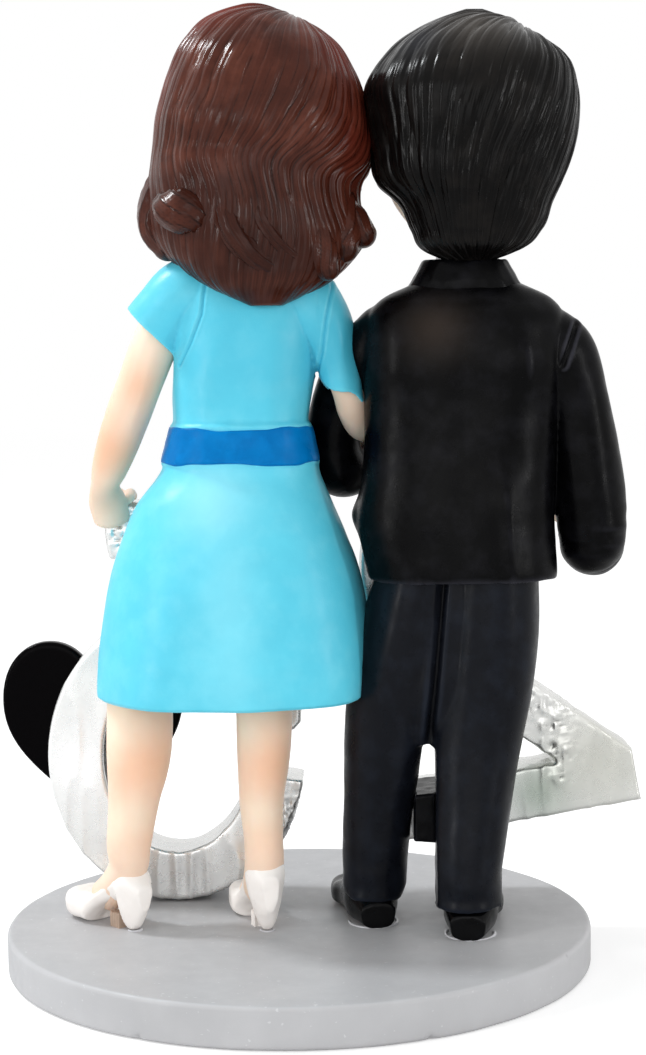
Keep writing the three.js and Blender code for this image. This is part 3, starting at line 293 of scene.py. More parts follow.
def form_of(mesh, scale=1.0, drop=0.0):
    """The form of a mesh, scaled and then set down."""
    points = np.empty(len(mesh.vertices) * 3, np.float32)
    mesh.vertices.foreach_get("co", points)
    counts = np.empty(len(mesh.polygons), np.int32)
    mesh.polygons.foreach_get("loop_total", counts)
    corners = np.empty(len(mesh.loops), np.int32)
    mesh.loops.foreach_get("vertex_index", corners)
    starts = np.cumsum(counts) - counts
    faces = [corners[starts[counts == n][:, None] + np.arange(n)] for n in (3, 4) if (counts == n).any()]
    return Form(points.reshape(-1, 3) / scale - [0, 0, drop], faces)


def remeshed(mesh, voxel):
    """An even skin round a mesh."""
    holder = linked("remesh", mesh)
    remesh = holder.modifiers.new("remesh", "REMESH")
    remesh.mode = "VOXEL"
    remesh.voxel_size = voxel
    graph = bpy.context.evaluated_depsgraph_get()
    result = form_of(holder.evaluated_get(graph).to_mesh())
    bpy.data.objects.remove(holder)
    bpy.data.meshes.remove(mesh)
    return result


def fused(parts, voxel, soft):
    """One skin over several forms."""
    forms = [part if isinstance(part, Form) else closed(part) for part in parts]
    offset, points, faces = 0, [], []
    for form in forms:
        points.append(form.points)
        faces += [face + offset for face in form.faces]
        offset += len(form.points)
    whole = Form(np.concatenate(points), faces)
    return remeshed(plain_mesh("fused", whole), voxel).soften(soft)


def from_node(name, voxel, soft):
    """A fine skin over a solid of the frame."""
    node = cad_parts[name]
    source = node.data.copy()
    source.transform(node.matrix_world)
    form = form_of(source, MM, PLATE_TOP)
    bpy.data.meshes.remove(source)
    return remeshed(plain_mesh(name, form), voxel).soften(soft)


def outlined(outline, back, thick, bevel, voxel):
    """A flat shape drawn in x and z, run forwards from its back face, with rounded edges."""
    curve = bpy.data.curves.new("outline", "CURVE")
    curve.dimensions = "2D"
    curve.fill_mode = "BOTH"
    curve.extrude = thick / 2 - bevel
    curve.bevel_depth = bevel
    curve.bevel_resolution = 2
    curve.offset = -bevel
    line = curve.splines.new("POLY")
    line.points.add(len(outline) - 1)
    line.points.foreach_set("co", np.column_stack([outline, 0 * outline]).ravel())
    line.use_cyclic_u = True
    holder = linked("outline", curve)
    graph = bpy.context.evaluated_depsgraph_get()
    mesh = bpy.data.meshes.new_from_object(holder.evaluated_get(graph))
    bpy.data.objects.remove(holder)
    form = remeshed(mesh, voxel).soften(3)
    x, up, out = form.points.T
    form.points = np.stack([x, back - thick / 2 - out, up], -1)
    return form


def arc(x, z, half, rise, start, end, count):
    """Points on an oval between two angles in degrees."""
    turn = np.radians(np.linspace(start, end, count))
    return np.stack([x + half * np.cos(turn), z + rise * np.sin(turn)], -1)


def distance_to(points, path):
    """Distance from each point to a path of straight runs."""
    path = np.asarray(path, float)
    best = np.full(len(points), 1e9)
    for a, b in zip(path[:-1], path[1:]):
        run = b - a
        t = np.clip(((points - a) @ run) / max(run @ run, 1e-9), 0, 1)
        best = np.minimum(best, np.linalg.norm(points - a - t[:, None] * run, axis=1))
    return best


# Paint: each finish is made of nodes, and reads the marks that the forms carry

paints = {}


def linear(code):
    """A colour code as linear numbers."""
    parts = [int(code[i:i + 2], 16) / 255 for i in (0, 2, 4)]
    return tuple(c / 12.92 if c <= 0.04045 else ((c + 0.055) / 1.055) ** 2.4 for c in parts)


def tree_tools(material):
    """Empties a node tree, and returns what makes its nodes and links."""
    material.use_nodes = True
    tree = material.node_tree
    tree.nodes.clear()

    def node(kind, **values):
        made = tree.nodes.new(kind)
        for key, value in values.items():
            if hasattr(made, key):
                setattr(made, key, value)
            else:
                made.inputs[key].default_value = value
        return made

    def join(kind, *sources, **values):
        """Makes a node, links the sources to its first sockets and returns its first output."""
        made = node(kind, **values)
        for source, socket in zip(sources, made.inputs):
            tree.links.new(source, socket)
        return made.outputs[0] if made.outputs else None

    return node, join, tree.links.new


def paint(name, base, *, dark=None, light=None, rough=0.4, rough_swing=0.08, patch=0.15, patch_size=7.0,
          groove=0.5, edge=0.12, grain=0.35, grain_depth=0.02, wave_depth=0.0, metal=0.0, coat=0.0,
          specular=0.5, skin=0.0, speckle=0.0, speckle_colour="ffffff"):
    """A painted finish, sizes in millimetres: painted shade in the grooves, painted highlight and worn
    paint on the ridges.
    """
    material = bpy.data.materials.new(name)
    node, join, link = tree_tools(material)
    base = linear(base)
    dark = linear(dark) if dark else [0.45 * c for c in base]
    light = linear(light) if light else [min(1.0, 1.15 * c + 0.03) for c in base]
    place = node("ShaderNodeTexCoord")

    def field(size, detail=3.0, roughness=0.55):
        made = node("ShaderNodeTexNoise", Scale=1 / (size * MM), Detail=detail, Roughness=roughness)
        link(place.outputs["Object"], made.inputs["Vector"])
        return made.outputs["Fac"]

    def span(source, low, high, to_low=0.0, to_high=1.0):
        limits = {"From Min": low, "From Max": high, "To Min": to_low, "To Max": to_high}
        made = node("ShaderNodeMapRange", **limits)
        link(source, made.inputs["Value"])
        return made.outputs["Result"]

    def mix(amount, a, b):
        made = node("ShaderNodeMix", data_type="RGBA", blend_type="MIX")
        for socket, value in (("Factor", amount), ("A", a), ("B", b)):
            wanted = [s for s in made.inputs if s.name == socket and s.enabled][0]
            if isinstance(value, bpy.types.NodeSocket):
                link(value, wanted)
            elif socket == "Factor":
                wanted.default_value = value
            else:
                wanted.default_value = (*value, 1.0)
        return [s for s in made.outputs if s.enabled][0]

    colour = mix(span(field(patch_size), 0.35, 0.65, 0.0, patch), base, dark)
    colour = mix(span(field(patch_size * 0.6, 4.0), 0.45, 0.75, 0.0, patch), colour, light)
    # Airbrushed colour, and painted light and shade, from the spots that each form carries
    sprayed_tone_and_light = node("ShaderNodeAttribute", attribute_name="airbrush_and_painted_light")
    colour = mix(sprayed_tone_and_light.outputs["Alpha"], colour, sprayed_tone_and_light.outputs["Color"])
    relief = node("ShaderNodeAttribute", attribute_name="relief").outputs["Fac"]
    # Painted shade: the dark colour in the grooves; painted highlight and worn paint: the light colour on
    # the ridges
    colour = mix(span(relief, 0.45, 0.1, 0.0, groove), colour, dark)
    colour = mix(span(relief, 0.6, 0.95, 0.0, edge), colour, light)
    if speckle:
        dots = span(field(0.9, 1.0), 0.72, 0.76, 0.0, speckle)
        colour = mix(dots, colour, linear(speckle_colour))
    shader = node("ShaderNodeBsdfPrincipled")
    link(colour, shader.inputs["Base Color"])
    wear = span(field(2.2, 4.0), 0.3, 0.7, max(rough - rough_swing, 0.03), min(rough + rough_swing, 1.0))
    link(wear, shader.inputs["Roughness"])
    values = {
        "Metallic": metal, "Specular IOR Level": specular,
        "Coat Weight": coat, "Coat Roughness": 0.12,
    }
    if skin:
        values["Subsurface Weight"] = skin
        values["Subsurface Radius"] = (1.0, 0.45, 0.25)
        values["Subsurface Scale"] = 0.8 * MM
    for key, value in values.items():
        shader.inputs[key].default_value = value
    bump = node("ShaderNodeBump", Strength=1.0, Distance=grain_depth * MM)
    link(field(grain, 5.0, 0.6), bump.inputs["Height"])
    last = bump
    if wave_depth:
        broad = node("ShaderNodeBump", Strength=1.0, Distance=wave_depth * MM)
        link(field(3.5, 2.0), broad.inputs["Height"])
        link(bump.outputs["Normal"], broad.inputs["Normal"])
        last = broad
    link(last.outputs["Normal"], shader.inputs["Normal"])
    join("ShaderNodeOutputMaterial", shader.outputs["BSDF"])
    paints[name] = material


def airbrush_and_painted_light(form, spots):
    """Airbrushed colour, and painted light and shade: each spot is x, y, z, reach, colour code and
    strength.
    """
    colour = np.zeros((len(form.points), 4))
    colour[:, :3] = 1
    for *at, reach, tone, strength in spots:
        weight = strength * bell(np.linalg.norm((form.points - at) / reach, axis=1))
        total = weight + colour[:, 3] * (1 - weight)
        share = np.where(total > 1e-6, weight / np.maximum(total, 1e-6), 0)[:, None]
        colour[:, :3] = colour[:, :3] * (1 - share) + np.array(linear(tone)) * share
        colour[:, 3] = total
    form.marks["airbrush_and_painted_light"] = colour
    return form


def piece(name, form, finish, nodes=(), slot=None):
    """Makes a form into a piece that rides on the body and stands for its nodes."""
    slot = slot or slots.get(finish, finish)
    mesh = plain_mesh(name, form, MM, PLATE_TOP)
    mesh.polygons.foreach_set("use_smooth", np.ones(len(mesh.polygons), bool))
    plain = {"relief": np.full(len(form.points), 0.5), "airbrush_and_painted_light": np.zeros((len(form.points), 4))}
    for key, values in {**plain, **form.marks}.items():
        kind, field = ("FLOAT_COLOR", "color") if key == "airbrush_and_painted_light" else ("FLOAT", "value")
        layer = mesh.attributes.new(key, kind, "POINT")
        layer.data.foreach_set(field, np.ravel(values).astype(np.float32))
    mesh.materials.append(paints[finish])
    made = linked(name, mesh)
    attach(made, "root")
    if nodes:
        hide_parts(*nodes)


def pair(stem, make, finish):
    """The left and the right piece of a pair."""
    for side in ("left", "right"):
        node = f"{stem}_{side}"
        piece(f"{node}_sculpt", make(side), finish, [node])


# Slots of the record that have another name than the finish
slots = {
    "dress": "dress_turquoise", "belt": "belt_blue", "shoe_white": "pump_white", "suit": "suit_black",
    "trousers": "trousers_black", "black_gloss": "shoe_black", "shirt": "shirt_white",
    "foil": "foil_silver", "plate": "base_resin", "glue": "base_resin", "lips": "skin",
    "brow": "eye_dark", "eye_white": "eye_dark", "iris": "eye_dark", "pupil": "eye_dark",
}

bpy.context.scene.view_settings.view_transform = "Standard"
set_camera()

# Each finish's dark colour also paints shade into its grooves, and its light colour paints highlight and
# wear onto its ridges
paint("hair_brown", "4a241a", dark="170704", light="7c4636", rough=0.2, specular=0.14,
      groove=0.8, edge=0.35, patch=0.35, patch_size=9, grain=0.3, grain_depth=0.012)
paint("hair_black", "080707", dark="020202", light="2a2623", rough=0.2, specular=0.09, groove=0.8,
      edge=0.3, patch=0.25, grain=0.3, grain_depth=0.012)
paint("skin", "fbdfc8", dark="e09e78", light="fff0e2", rough=0.42, patch=0.14, groove=0.35,
      specular=0.3, skin=0.15, grain=0.5, grain_depth=0.01)
paint("dress", "60d3eb", dark="259fc2", light="a4f2fd", rough=0.36, patch=0.14, groove=0.6,
      edge=0.2, specular=0.25, wave_depth=0.03)
paint("belt", "0076bd", dark="005097", light="0e92e2", rough=0.34, patch=0.3, patch_size=5,
      groove=0.5, specular=0.06)
# On the suit, the light colour on the ridges is painted highlight
paint("suit", "030304", dark="020203", light="3e3e46", rough=0.3, specular=0.07, patch=0.1,
      groove=0.6, edge=0.5, wave_depth=0.012, rough_swing=0.06)
paint("trousers", "0f1117", dark="040406", light="2c3340", rough=0.32, specular=0.1, patch=0.2,
      edge=0.3, wave_depth=0.015)
paint("black_gloss", "040405", dark="010101", light="1c1c20", rough=0.22, specular=0.1)
paint("heart_gloss", "040304", dark="020202", light="0a0809", rough=0.12, specular=0.03,
      rough_swing=0.02, patch=0.0)
paint("shoe_white", "fffaf5", dark="c4a99b", light="ffffff", rough=0.35, specular=0.3, patch=0.1,
      groove=0.6, wave_depth=0.03)
paint("raw_print", "bfa794", dark="6f5a4b", light="dccbb9", rough=0.7)
paint("shirt", "eeeef0", dark="b9bbc2", rough=0.45, patch=0.12)
paint("foil", "ececea", dark="383a3a", light="ffffff", rough=0.28, metal=0.75, patch=0.04,
      groove=0.85, edge=0.6, patch_size=6, grain=0.8, grain_depth=0.008, rough_swing=0.04)
paint("plate", "bbbbbd", dark="9d9d9f", light="d2d2d3", rough=0.45, patch=0.18, patch_size=16,
      specular=0.4, speckle=0.5, speckle_colour="d9dadb")
paint("glue", "cdcdd1", dark="b5b5ba", light="e4e4e6", rough=0.25)
paint("steel", "9a9da0", rough=0.3, metal=1.0)
paint("eye_white", "f4f2ee", rough=0.12, coat=0.4, patch=0.05)
paint("iris", "3a2015", dark="140905", rough=0.1, coat=0.6)
paint("pupil", "050404", rough=0.06, coat=0.8)
paint("brow", "2a1812", rough=0.5)
paint("lips", "c9606a", rough=0.3, coat=0.2)


# Plate

def plate_form():
    """A round slab with rounded edges, an uneven rim and three chips."""
    radius, low, edge = 54.0, -PLATE_TOP, 0.9
    quarter = np.linspace(0, np.pi / 2, 7)
    flat = np.linspace(0.5, radius - edge - 0.4, 40)
    profile = [(r, low) for r in flat[::4]]
    profile += [(radius - edge + edge * math.sin(a), low + edge - edge * math.cos(a)) for a in quarter]
    profile += [(radius, z) for z in np.linspace(low + edge + 0.5, -edge - 0.5, 12)]
    profile += [(radius - edge + edge * math.cos(a), -edge + edge * math.sin(a)) for a in quarter]
    profile += [(r, 0.0) for r in flat[::-1]]
    profile = np.array(profile)
    out, high = profile[:, :1], profile[:, 1:]
    turn = around(420)
    form = closed(np.stack([out * np.cos(turn), out * np.sin(turn), high + 0 * turn], -1))
    rim = ease_between(radius - 3, radius - 0.5, np.hypot(form.points[:, 0], form.points[:, 1]))
    form.push(0.06 * rim * (noise(form.points, 6.0) - 1) - 0.02 * noise(form.points, 2.5, 3))
    chips = ((26.5, 47, -6.9, 1.1, 0.5), (-22, 49.3, -7.2, 1.3, 0.5), (-47, 26.4, -0.4, 1.0, 0.3))
    for x, y, z, reach, depth in chips:
        form.push(-depth * ease_between(reach, 0, form.away((x, y, z))))
    # Painted light on the top: a lighter patch on the groom's side, and painted shade under the back of
    # the bride's skirt
    airbrush_and_painted_light(form, [(-42, 18, 0, 20, "d2d2d4", 0.65), (8, 24, 0, 10, "a9a9ab", 0.3)])
    return form.mark_relief(3, 0.15)


piece("plate_cast", plate_form(), "plate", ["base_plate"])


# Bride's skirt, belt and bodice

SKIRT_HEM, SKIRT_TOP = 42.8, 84.7
# Rows of the skirt, belt and bodice: height, x, y, half width, depth back and depth front
# The skirt's heights are shares of its own, and the bodice's are above its foot
skirt_shares = [
    [0, 1.9, 0, 24.4, 20.6, 12.8], [0.03, 1.9, 0, 24.9, 21, 13.1], [0.23, 1.6, 0, 24.6, 20.6, 13.1],
    [0.51, 1.5, 0, 22.8, 19, 13], [0.69, 1.6, 0, 20.4, 17, 12.8], [0.83, 1.5, 0, 17.9, 15, 12.4],
    [0.94, 0.7, 0, 15.2, 12.7, 11.8], [0.99, 0.3, 0, 14.3, 12.2, 11.7], [1.015, 0.3, 0, 14.4, 12.3, 11.8],
    [1.03, 0.3, 0, 13.9, 11.9, 11.4], [1.06, 0.3, 0, 13.5, 11.4, 11],
]


def skirt_form():
    """Flared cloth with soft waves towards a hem that is rolled inwards."""
    tall = SKIRT_TOP - SKIRT_HEM
    rows = placed([[SKIRT_HEM + share * tall, *rest] for share, *rest in skirt_shares], BRIDE)
    outer = stack(rows, rings=130, sides=260, power=2.2)
    middle = np.array([BRIDE[0] + 1.9, BRIDE[1], 0])
    turn = np.arctan2(outer[..., 1] - middle[1], outer[..., 0] - middle[0])
    up = np.clip((outer[..., 2] - SKIRT_HEM) / tall, 0, 1)
    wave = 0.4 * (1 - up) ** 1.5 * np.sin(8 * turn + 0.8)
    wave += 0.3 * (1 - up) * np.sin(3 * turn + 0.4) * np.sin(np.pi * up + 0.6)
    away = unit(outer - middle - outer * [0, 0, 1])
    outer = outer + away * wave[..., None]
    # How far in and up each ring of the rolled hem lies
    rolled = ((3.5, 5.6), (1.8, 5.0), (1.6, 3.0), (1.5, 1.2),
              (1.4, 0.3), (1.15, -0.15), (0.7, -0.3), (0.25, -0.22))
    rim = [outer[0] - away[0] * inset + [0, 0, lift] for inset, lift in rolled]
    form = closed(np.concatenate([rim, outer]))
    form.push(0.05 * noise(form.points, 5.0, 1) + 0.02 * noise(form.points, 1.6, 2))
    # Painted highlight: a pale streak down the back and a pale patch below the belt; painted shade: a
    # darker patch on the groom's side
    band = [(11, 22, z, 5, "9aeaf8", 0.3) for z in (46, 53, 60, 67)]
    airbrush_and_painted_light(form, [(14, 15, 78, 7, "b6f5fd", 0.5), (-8, 15, 60, 10, "2fa5c4", 0.3), *band])
    return form.mark_relief(4, 0.12)


piece("bride_skirt_sculpt", skirt_form(), "dress", ["bride_skirt"])

belt_rows = [
    [85, 0.3, 0, 13.2, 11.4, 11], [85.3, 0.3, 0, 14.2, 12.3, 11.9], [85.9, 0.3, 0, 14.4, 12.6, 12.2],
    [88.4, 0.2, 0, 13.8, 12, 11.6], [91, 0.1, 0, 13.2, 11.5, 11.1], [91.6, 0.1, 0, 12.9, 11.2, 10.8],
    [91.8, 0.1, 0, 12, 10.3, 10],
]


def belt_form():
    """A soft band that rises and falls round the waist."""
    rings, sides = 48, 260
    grid = stack(placed(belt_rows, BRIDE), rings, sides)
    turn = around(sides)
    high = np.linspace(-1, 1, rings)[:, None]
    sway = 0.2 * np.sin(2 * turn + 1) + 0.22 * np.sin(5 * turn + 2 + 1.5 * high)
    sway += 0.14 * np.sin(11 * turn + 4 * high)
    grid[..., 2] += 0.7 * sway + 0.25 * high * np.sin(3 * turn + 0.6)
    form = closed(grid)
    form.push(0.05 * noise(form.points, (4.0, 4.0, 1.0), 5) + 0.03 * noise(form.points, 1.2, 6))
    return form.mark_relief(4, 0.15)


piece("bride_belt_sculpt", belt_form(), "belt", ["bride_belt"])

bodice_rows = [
    [-2.4, 0.1, 0, 12.5, 10.8, 10.6], [-0.5, 0.1, 0, 12.9, 11.2, 11], [0.6, 0.1, 0, 12.3, 10.6, 10.4],
    [5.5, -0.3, 0, 12.7, 10.8, 11.4], [12, -1, 0, 13.1, 10.8, 12], [19, -1, 0, 13.4, 9.8, 10.2],
    [25, -1, 0, 12.8, 8, 7.6], [29, -1, 0, 11.2, 6.6, 6.4], [31, -1, 0, 8.4, 5.2, 5.2],
]
BODICE_FOOT = 92.4
sleeve_paths = {
    "left": [[13.5, 3, 115, 7.6, 7.2], [18, 3, 115, 7.3, 7], [22, 3, 111.8, 6.6, 6.4],
             [24.8, 3, 108.8, 6.1, 6]],
    "right": [[3, 3, 115, 7.6, 7.2], [-1.5, 3.6, 114.6, 7.2, 7], [-6, 4.8, 109, 5.8, 6.2],
              [-8.3, 5.8, 103, 4.3, 5], [-9.4, 6.2, 97.6, 3.9, 4.5]],
}


def mouth(grid, rim=0.7, depth=2.0):
    """Hollows the open end of a limb, so that it has a hem."""
    end, before = grid[-1], grid[-4]
    centre = end.mean(0)
    way = unit(centre - before.mean(0))
    inward = unit(centre - end)
    lip = ((0.25, 0.15), (0.7, 0.1), (1, -0.2), (1.1, -depth), (3, -depth - 0.2))
    return np.concatenate([grid, [end + inward * share * rim + way * out for share, out in lip]])


def sewn(p, path, depth, width):
    """A seam along a path in x and z, sunk through the cloth, with a low lip on both sides."""
    away = distance_to(p * [1, 0, 1], [(x, 0, z) for x, z in path])
    return depth * (0.35 * bell((away - 2.2 * width) / width) - bell(away / width))


def swollen(form, spots):
    """Soft swells and hollows: each is x, y, z, reach and height."""
    for x, y, z, reach, height in spots:
        form.push(height * bell(form.away((x, y, z)) / reach))


def bodice_form():
    """A fitted bodice with short sleeves, sewn-in seams and creases over the belt."""
    rows = placed([[BODICE_FOOT + z, *rest] for z, *rest in bodice_rows], BRIDE)
    parts = [stack(rows, rings=70, sides=120)]
    for side, path in sleeve_paths.items():
        grid = limb(path, rings=60, sides=80, domes=(True, False))
        end = grid[-1].mean(0)
        near = np.linspace(0, 1, len(grid))[:, None] ** 5
        turn = around(grid.shape[1])
        slant, flutter = (0.1, 0.12) if side == "left" else (0.62, 0.45)
        grid[..., 2] += near * (slant * (grid[..., 0] - end[0]) + flutter * np.sin(3 * turn + 1.5))
        parts.append(mouth(grid))
    form = fused(parts, 0.3, 2)
    p = form.points
    seams = sewn(p, [(14, 121), (14.7, 118), (15.4, 112), (17.4, 107), (19.6, 103)], 0.26, 0.26)
    seams += sewn(p, [(-7.4, 121), (-7.8, 116.5), (-6.7, 111), (-5.8, 105), (-4.8, 101)], 0.26, 0.26)
    low = ease_between(112, 95, p[:, 2])
    folds = 0.14 * noise(p, (2.6, 2.6, 10.0), 11) * low
    folds += 0.12 * noise(p, (2.2, 6.0, 5.0), 13) * (p[:, 0] < -5)
    form.push(folds + seams + 0.04 * noise(p, 3.0, 12))
    swollen(form, [(13, 13, 104, 3.5, 0.35), (4, 13.4, 108, 4, 0.25), (15.8, 9, 118, 2.5, -0.3)])
    # Painted shade: darker over the back, and darker still beside the groom's arm
    airbrush_and_painted_light(form, [(10, 12, 106, 14, "3fb0cd", 0.5), (-10, 9, 106, 9, "2692ad", 0.6)])
    return form.mark_relief(6, 0.16)


piece("bride_bodice_sculpt", bodice_form(), "dress",
      ["bride_bodice", "bride_sleeve_left", "bride_sleeve_right"])


# Bride's arms and legs

def bride_arm(side):
    """An arm, hand and fingers; the right one reaches forwards between the two figures."""
    left = side == "left"
    if left:
        path = [[21, 3, 112.5, 4.2, 4.2], [24.4, 3, 107, 4.3, 4.3], [26.9, 2.6, 101, 4.1, 4.2],
                [29.4, 1.6, 95, 4.1, 4.1], [31.6, 0, 89.5, 3.9, 3.9], [33.7, -2.2, 84.2, 3.3, 3.3],
                [34.8, -4.2, 81, 2.7, 2.5], [34.7, -6.3, 78, 3.5, 2.2], [34.2, -8.3, 74.6, 3.5, 2]]
        toward = (0, 1, 0)
    else:
        path = [[-7.8, 5.6, 105, 3.1, 3], [-10.2, 6, 98.2, 2.6, 2.8], [-11.2, 4.2, 94.4, 2.5, 2.8],
                [-12.9, -1.8, 91.2, 2.6, 2.7], [-14.8, -8, 91, 2.2, 2.3], [-15.6, -11.6, 92, 1.6, 2.3],
                [-16, -14.6, 92.2, 1.5, 2.8]]
        toward = (1, 0, 0)
    parts = [limb(path, rings=90, sides=48, toward=toward)]
    for i in range(4):
        reach = 7.5 - abs(i - 1.4) * 0.9
        if left:
            k = np.array([30.9 + 2.05 * i, -8.2, 78.2, 1.1, 1.1])
            steps = [(0, -0.5 * reach, 0.7), (0, -reach, 0)]
        else:
            k = np.array([-18.2 + 1.5 * i, -15.2, 92.3, 0.85, 0.85])
            steps = [(0, -0.35 * reach, 0.2), (0, -0.68 * reach, -0.9)]
        run = [k] + [k + np.array([*step, 0, -0.08 * n]) for n, step in enumerate(steps, 1)]
        parts.append(limb(run, rings=16, sides=20, toward=(0, 0, 1)))
    form = fused(parts, 0.25, 2)
    form.push(0.04 * noise(form.points, 4.0, 21))
    # Peach blush; painted shade in olive on the forearms where they pass into shadow; a painted highlight
    # in pale cream on the upper arm
    peach, shade_olive = "f0a97c", "a99c86"
    spots = [(33, 2, 88, 6, peach, 0.6), (27, 6, 99, 4.5, peach, 0.4), (34.5, -5, 79.5, 3, shade_olive, 0.45),
             (-9, 6, 96, 3.5, shade_olive, 0.55), (26, 3, 109, 5, "fff0da", 0.6)]
    return airbrush_and_painted_light(form, spots).mark_relief(5, 0.2)


pair("bride_arm", bride_arm, "skin")

# Where each foot stands, and how far it is turned, in degrees
bride_steps = {"left": (27.8, 10, 42), "right": (4.9, 12.2, 15)}
groom_steps = {"left": (-14.6, 9.4, 10), "right": (-30.2, 18.4, -8)}


def stepped(points, step):
    """Turns points about the upright axis and sets them down where the foot stands."""
    x, y, turn = step
    c, s = math.cos(math.radians(turn)), math.sin(math.radians(turn))
    points = np.asarray(points, float)
    out = points.copy()
    out[..., 0] = x + c * points[..., 0] - s * points[..., 1]
    out[..., 1] = y + s * points[..., 0] + c * points[..., 1]
    return out


def bride_leg(side):
    """A leg from inside the skirt to inside the shoe."""
    step = bride_steps[side]
    if side == "left":
        path = [[28.3, 4, 53, 5.7, 5.9], [28.8, 4.2, 34, 6, 6.1], [30, 4.8, 23.5, 4.7, 4.9]]
        ankle = (4.6, 16, 4.1, 4.2)
    else:
        path = [[5.6, 4, 53, 5.3, 5.6], [5.9, 4.2, 34, 5, 5.6], [6.5, 5, 23.5, 4.1, 4.5]]
        ankle = (5.2, 17, 3.6, 3.9)
    foot = (ankle, (4.9, 11.8, 3.6, 3.9), (8.2, 7.8, 3.3, 3.6), (12.2, 4.6, 3.2, 2))
    for along, height, wide, deep in foot:
        at = stepped([0, -along, height], step)
        path.append([*at, wide, deep])
    grid = limb(path, rings=120, sides=72, toward=(0, 1, 0.2))
    form = closed(grid)
    p = form.points
    form.push(0.05 * noise(p, 6.0, 31) + 0.015 * noise(p, 1.5, 32))
    x, y, _ = step
    # Peach blush; painted shade in olive just under the skirt and on the side away from the light;
    # painted highlight in cream on the side toward the light and low on the leg
    peach, highlight_cream, shade_olive = "ffb88c", "fff0d8", "cbb695"
    middle = path[1][0]
    spots = [(x + 0.5, y - 1, 17.5, 4.0, peach, 0.3), (middle - 1.5, 10, 31, 7, peach, 0.6),
             (middle, 9, 44, 6, shade_olive, 0.5), (middle + 4.5, 8, 37, 5, highlight_cream, 0.7),
             (middle - 5, 6, 30, 4, shade_olive, 0.3), (middle + 1, 9, 21, 4.5, highlight_cream, 0.5)]
    return airbrush_and_painted_light(form, spots).mark_relief(4, 0.15)


pair("bride_leg", bride_leg, "skin")


# Bride's high-heeled shoes

PUMP_LENGTH = 22
# Height of the back edge, and how much slimmer the toe is
pump_cuts = {"left": (11.6, 0), "right": (13.6, 0.14)}


def pump_grid(counter, slim):
    """Rings from the heel to the toe: top, underside, half width, and how wide the sole is under it."""
    rows = np.array([
        [counter - 3, counter, counter - 2, 7.4, 5.6, 5.4, 5.8, 3.6], [4.2, 0, 0, 0, 0, 0, 0.1, 1],
        [1.9, 4.3, 4.2, 4, 4.7, 4.9, 4.5, 2.2], [0.45, 0.4, 0.48, 0.75, 0.95, 0.95, 0.9, 0.85]]).T
    share = np.linspace(0, 1, 110)
    top, low, half, foot = spline(np.arange(8), rows, share * 7).T
    along = share * PUMP_LENGTH
    arch = spline([4.5, 4.7, 5.2, 6.4, 8.5, 10.3, 12, 13.3, 13.5],
                  [[0], [2.4], [4.0], [4.6], [4.35], [3.6], [2.1], [0.4], [0]], along)[:, 0]
    low = np.maximum(low, np.where((along > 4.5) & (along < 13.5), arch, 0))
    turn = around(56)
    up = bulge(np.sin(turn), 3)
    middle, tall = (top + low) / 2, (top - low) / 2
    narrow = foot[:, None] + (1 - foot[:, None]) * (up + 1) / 2
    half = half * (1 - slim * ease_between(8, 13, along))
    x = half[:, None] * narrow * bulge(np.cos(turn), 2.6)
    z = np.maximum(middle[:, None] + tall[:, None] * up, 0)
    return np.stack([x, -along[:, None] + 0 * up, z], -1)


def pump_form(side):
    step = bride_steps[side]
    form = fused([stepped(pump_grid(*pump_cuts[side]), step)[:, ::-1]], 0.22, 2)
    form.push(0.14 * noise(form.points, 2.8, 41) + 0.05 * noise(form.points, 1.1, 42))
    return form.mark_relief(5, 0.14)


pair("bride_shoe", pump_form, "shoe_white")


def post_form(node):
    form = from_node(node, 0.18, 1)
    p = form.points
    form.push(0.14 * np.sin((p[:, 0] - p[:, 1]) * 2 * np.pi / 1.1) + 0.05 * noise(p, 0.8, 43))
    return form.mark_relief(3, 0.12)


for side, finish in (("left", "raw_print"), ("right", "shoe_white")):
    node = f"bride_arch_support_{side}"
    piece(f"{node}_sculpt", post_form(node), finish, [node], "raw_print")


# Heads

# Half height, half width, depth back and depth front, and how square a level cut is
HEAD_SIZE = (19.5, 16.6, 15.5, 16.0)
HEAD_POWER = 2.15
# How far an eye is from the middle, and how far forwards its socket lies
EYE_X, SOCKET = 6.3, -14.2
# Middle of each head, then its lean and its turn, in degrees
heads = {"bride": (4.8, -1.5, 142.5, -3, -6), "groom": (-32.8, 3, 143, 2, 14)}
head_shares = np.array([
    [-1, 0, -5, 0.14, 0.14, 0.14], [-0.87, 0, -3.4, 0.5, 0.56, 0.46], [-0.6, 0, -1.4, 0.8, 0.82, 0.72],
    [-0.25, 0, -0.3, 0.96, 0.96, 0.92], [0.15, 0, 0, 1, 1, 1], [0.55, 0, 0.6, 0.88, 0.88, 0.92],
    [0.85, 0, 1, 0.56, 0.56, 0.62], [1, 0, 1.4, 0.16, 0.16, 0.18],
])
head_rows = head_shares * [HEAD_SIZE[0], 1, 1, *HEAD_SIZE[1:]]


def head_axes(who):
    """The middle of a head and the axes that its lean and turn give it."""
    x, y, z, lean, turn = heads[who]
    a, b = math.radians(lean), math.radians(turn)
    ry = np.array([[math.cos(a), 0, math.sin(a)], [0, 1, 0], [-math.sin(a), 0, math.cos(a)]])
    rz = np.array([[math.cos(b), -math.sin(b), 0], [math.sin(b), math.cos(b), 0], [0, 0, 1]])
    return np.array([x, y, z]), rz @ ry


def to_head(who, points):
    centre, axes = head_axes(who)
    return (points - centre) @ axes


def from_head(who, points):
    centre, axes = head_axes(who)
    return np.asarray(points) @ axes.T + centre


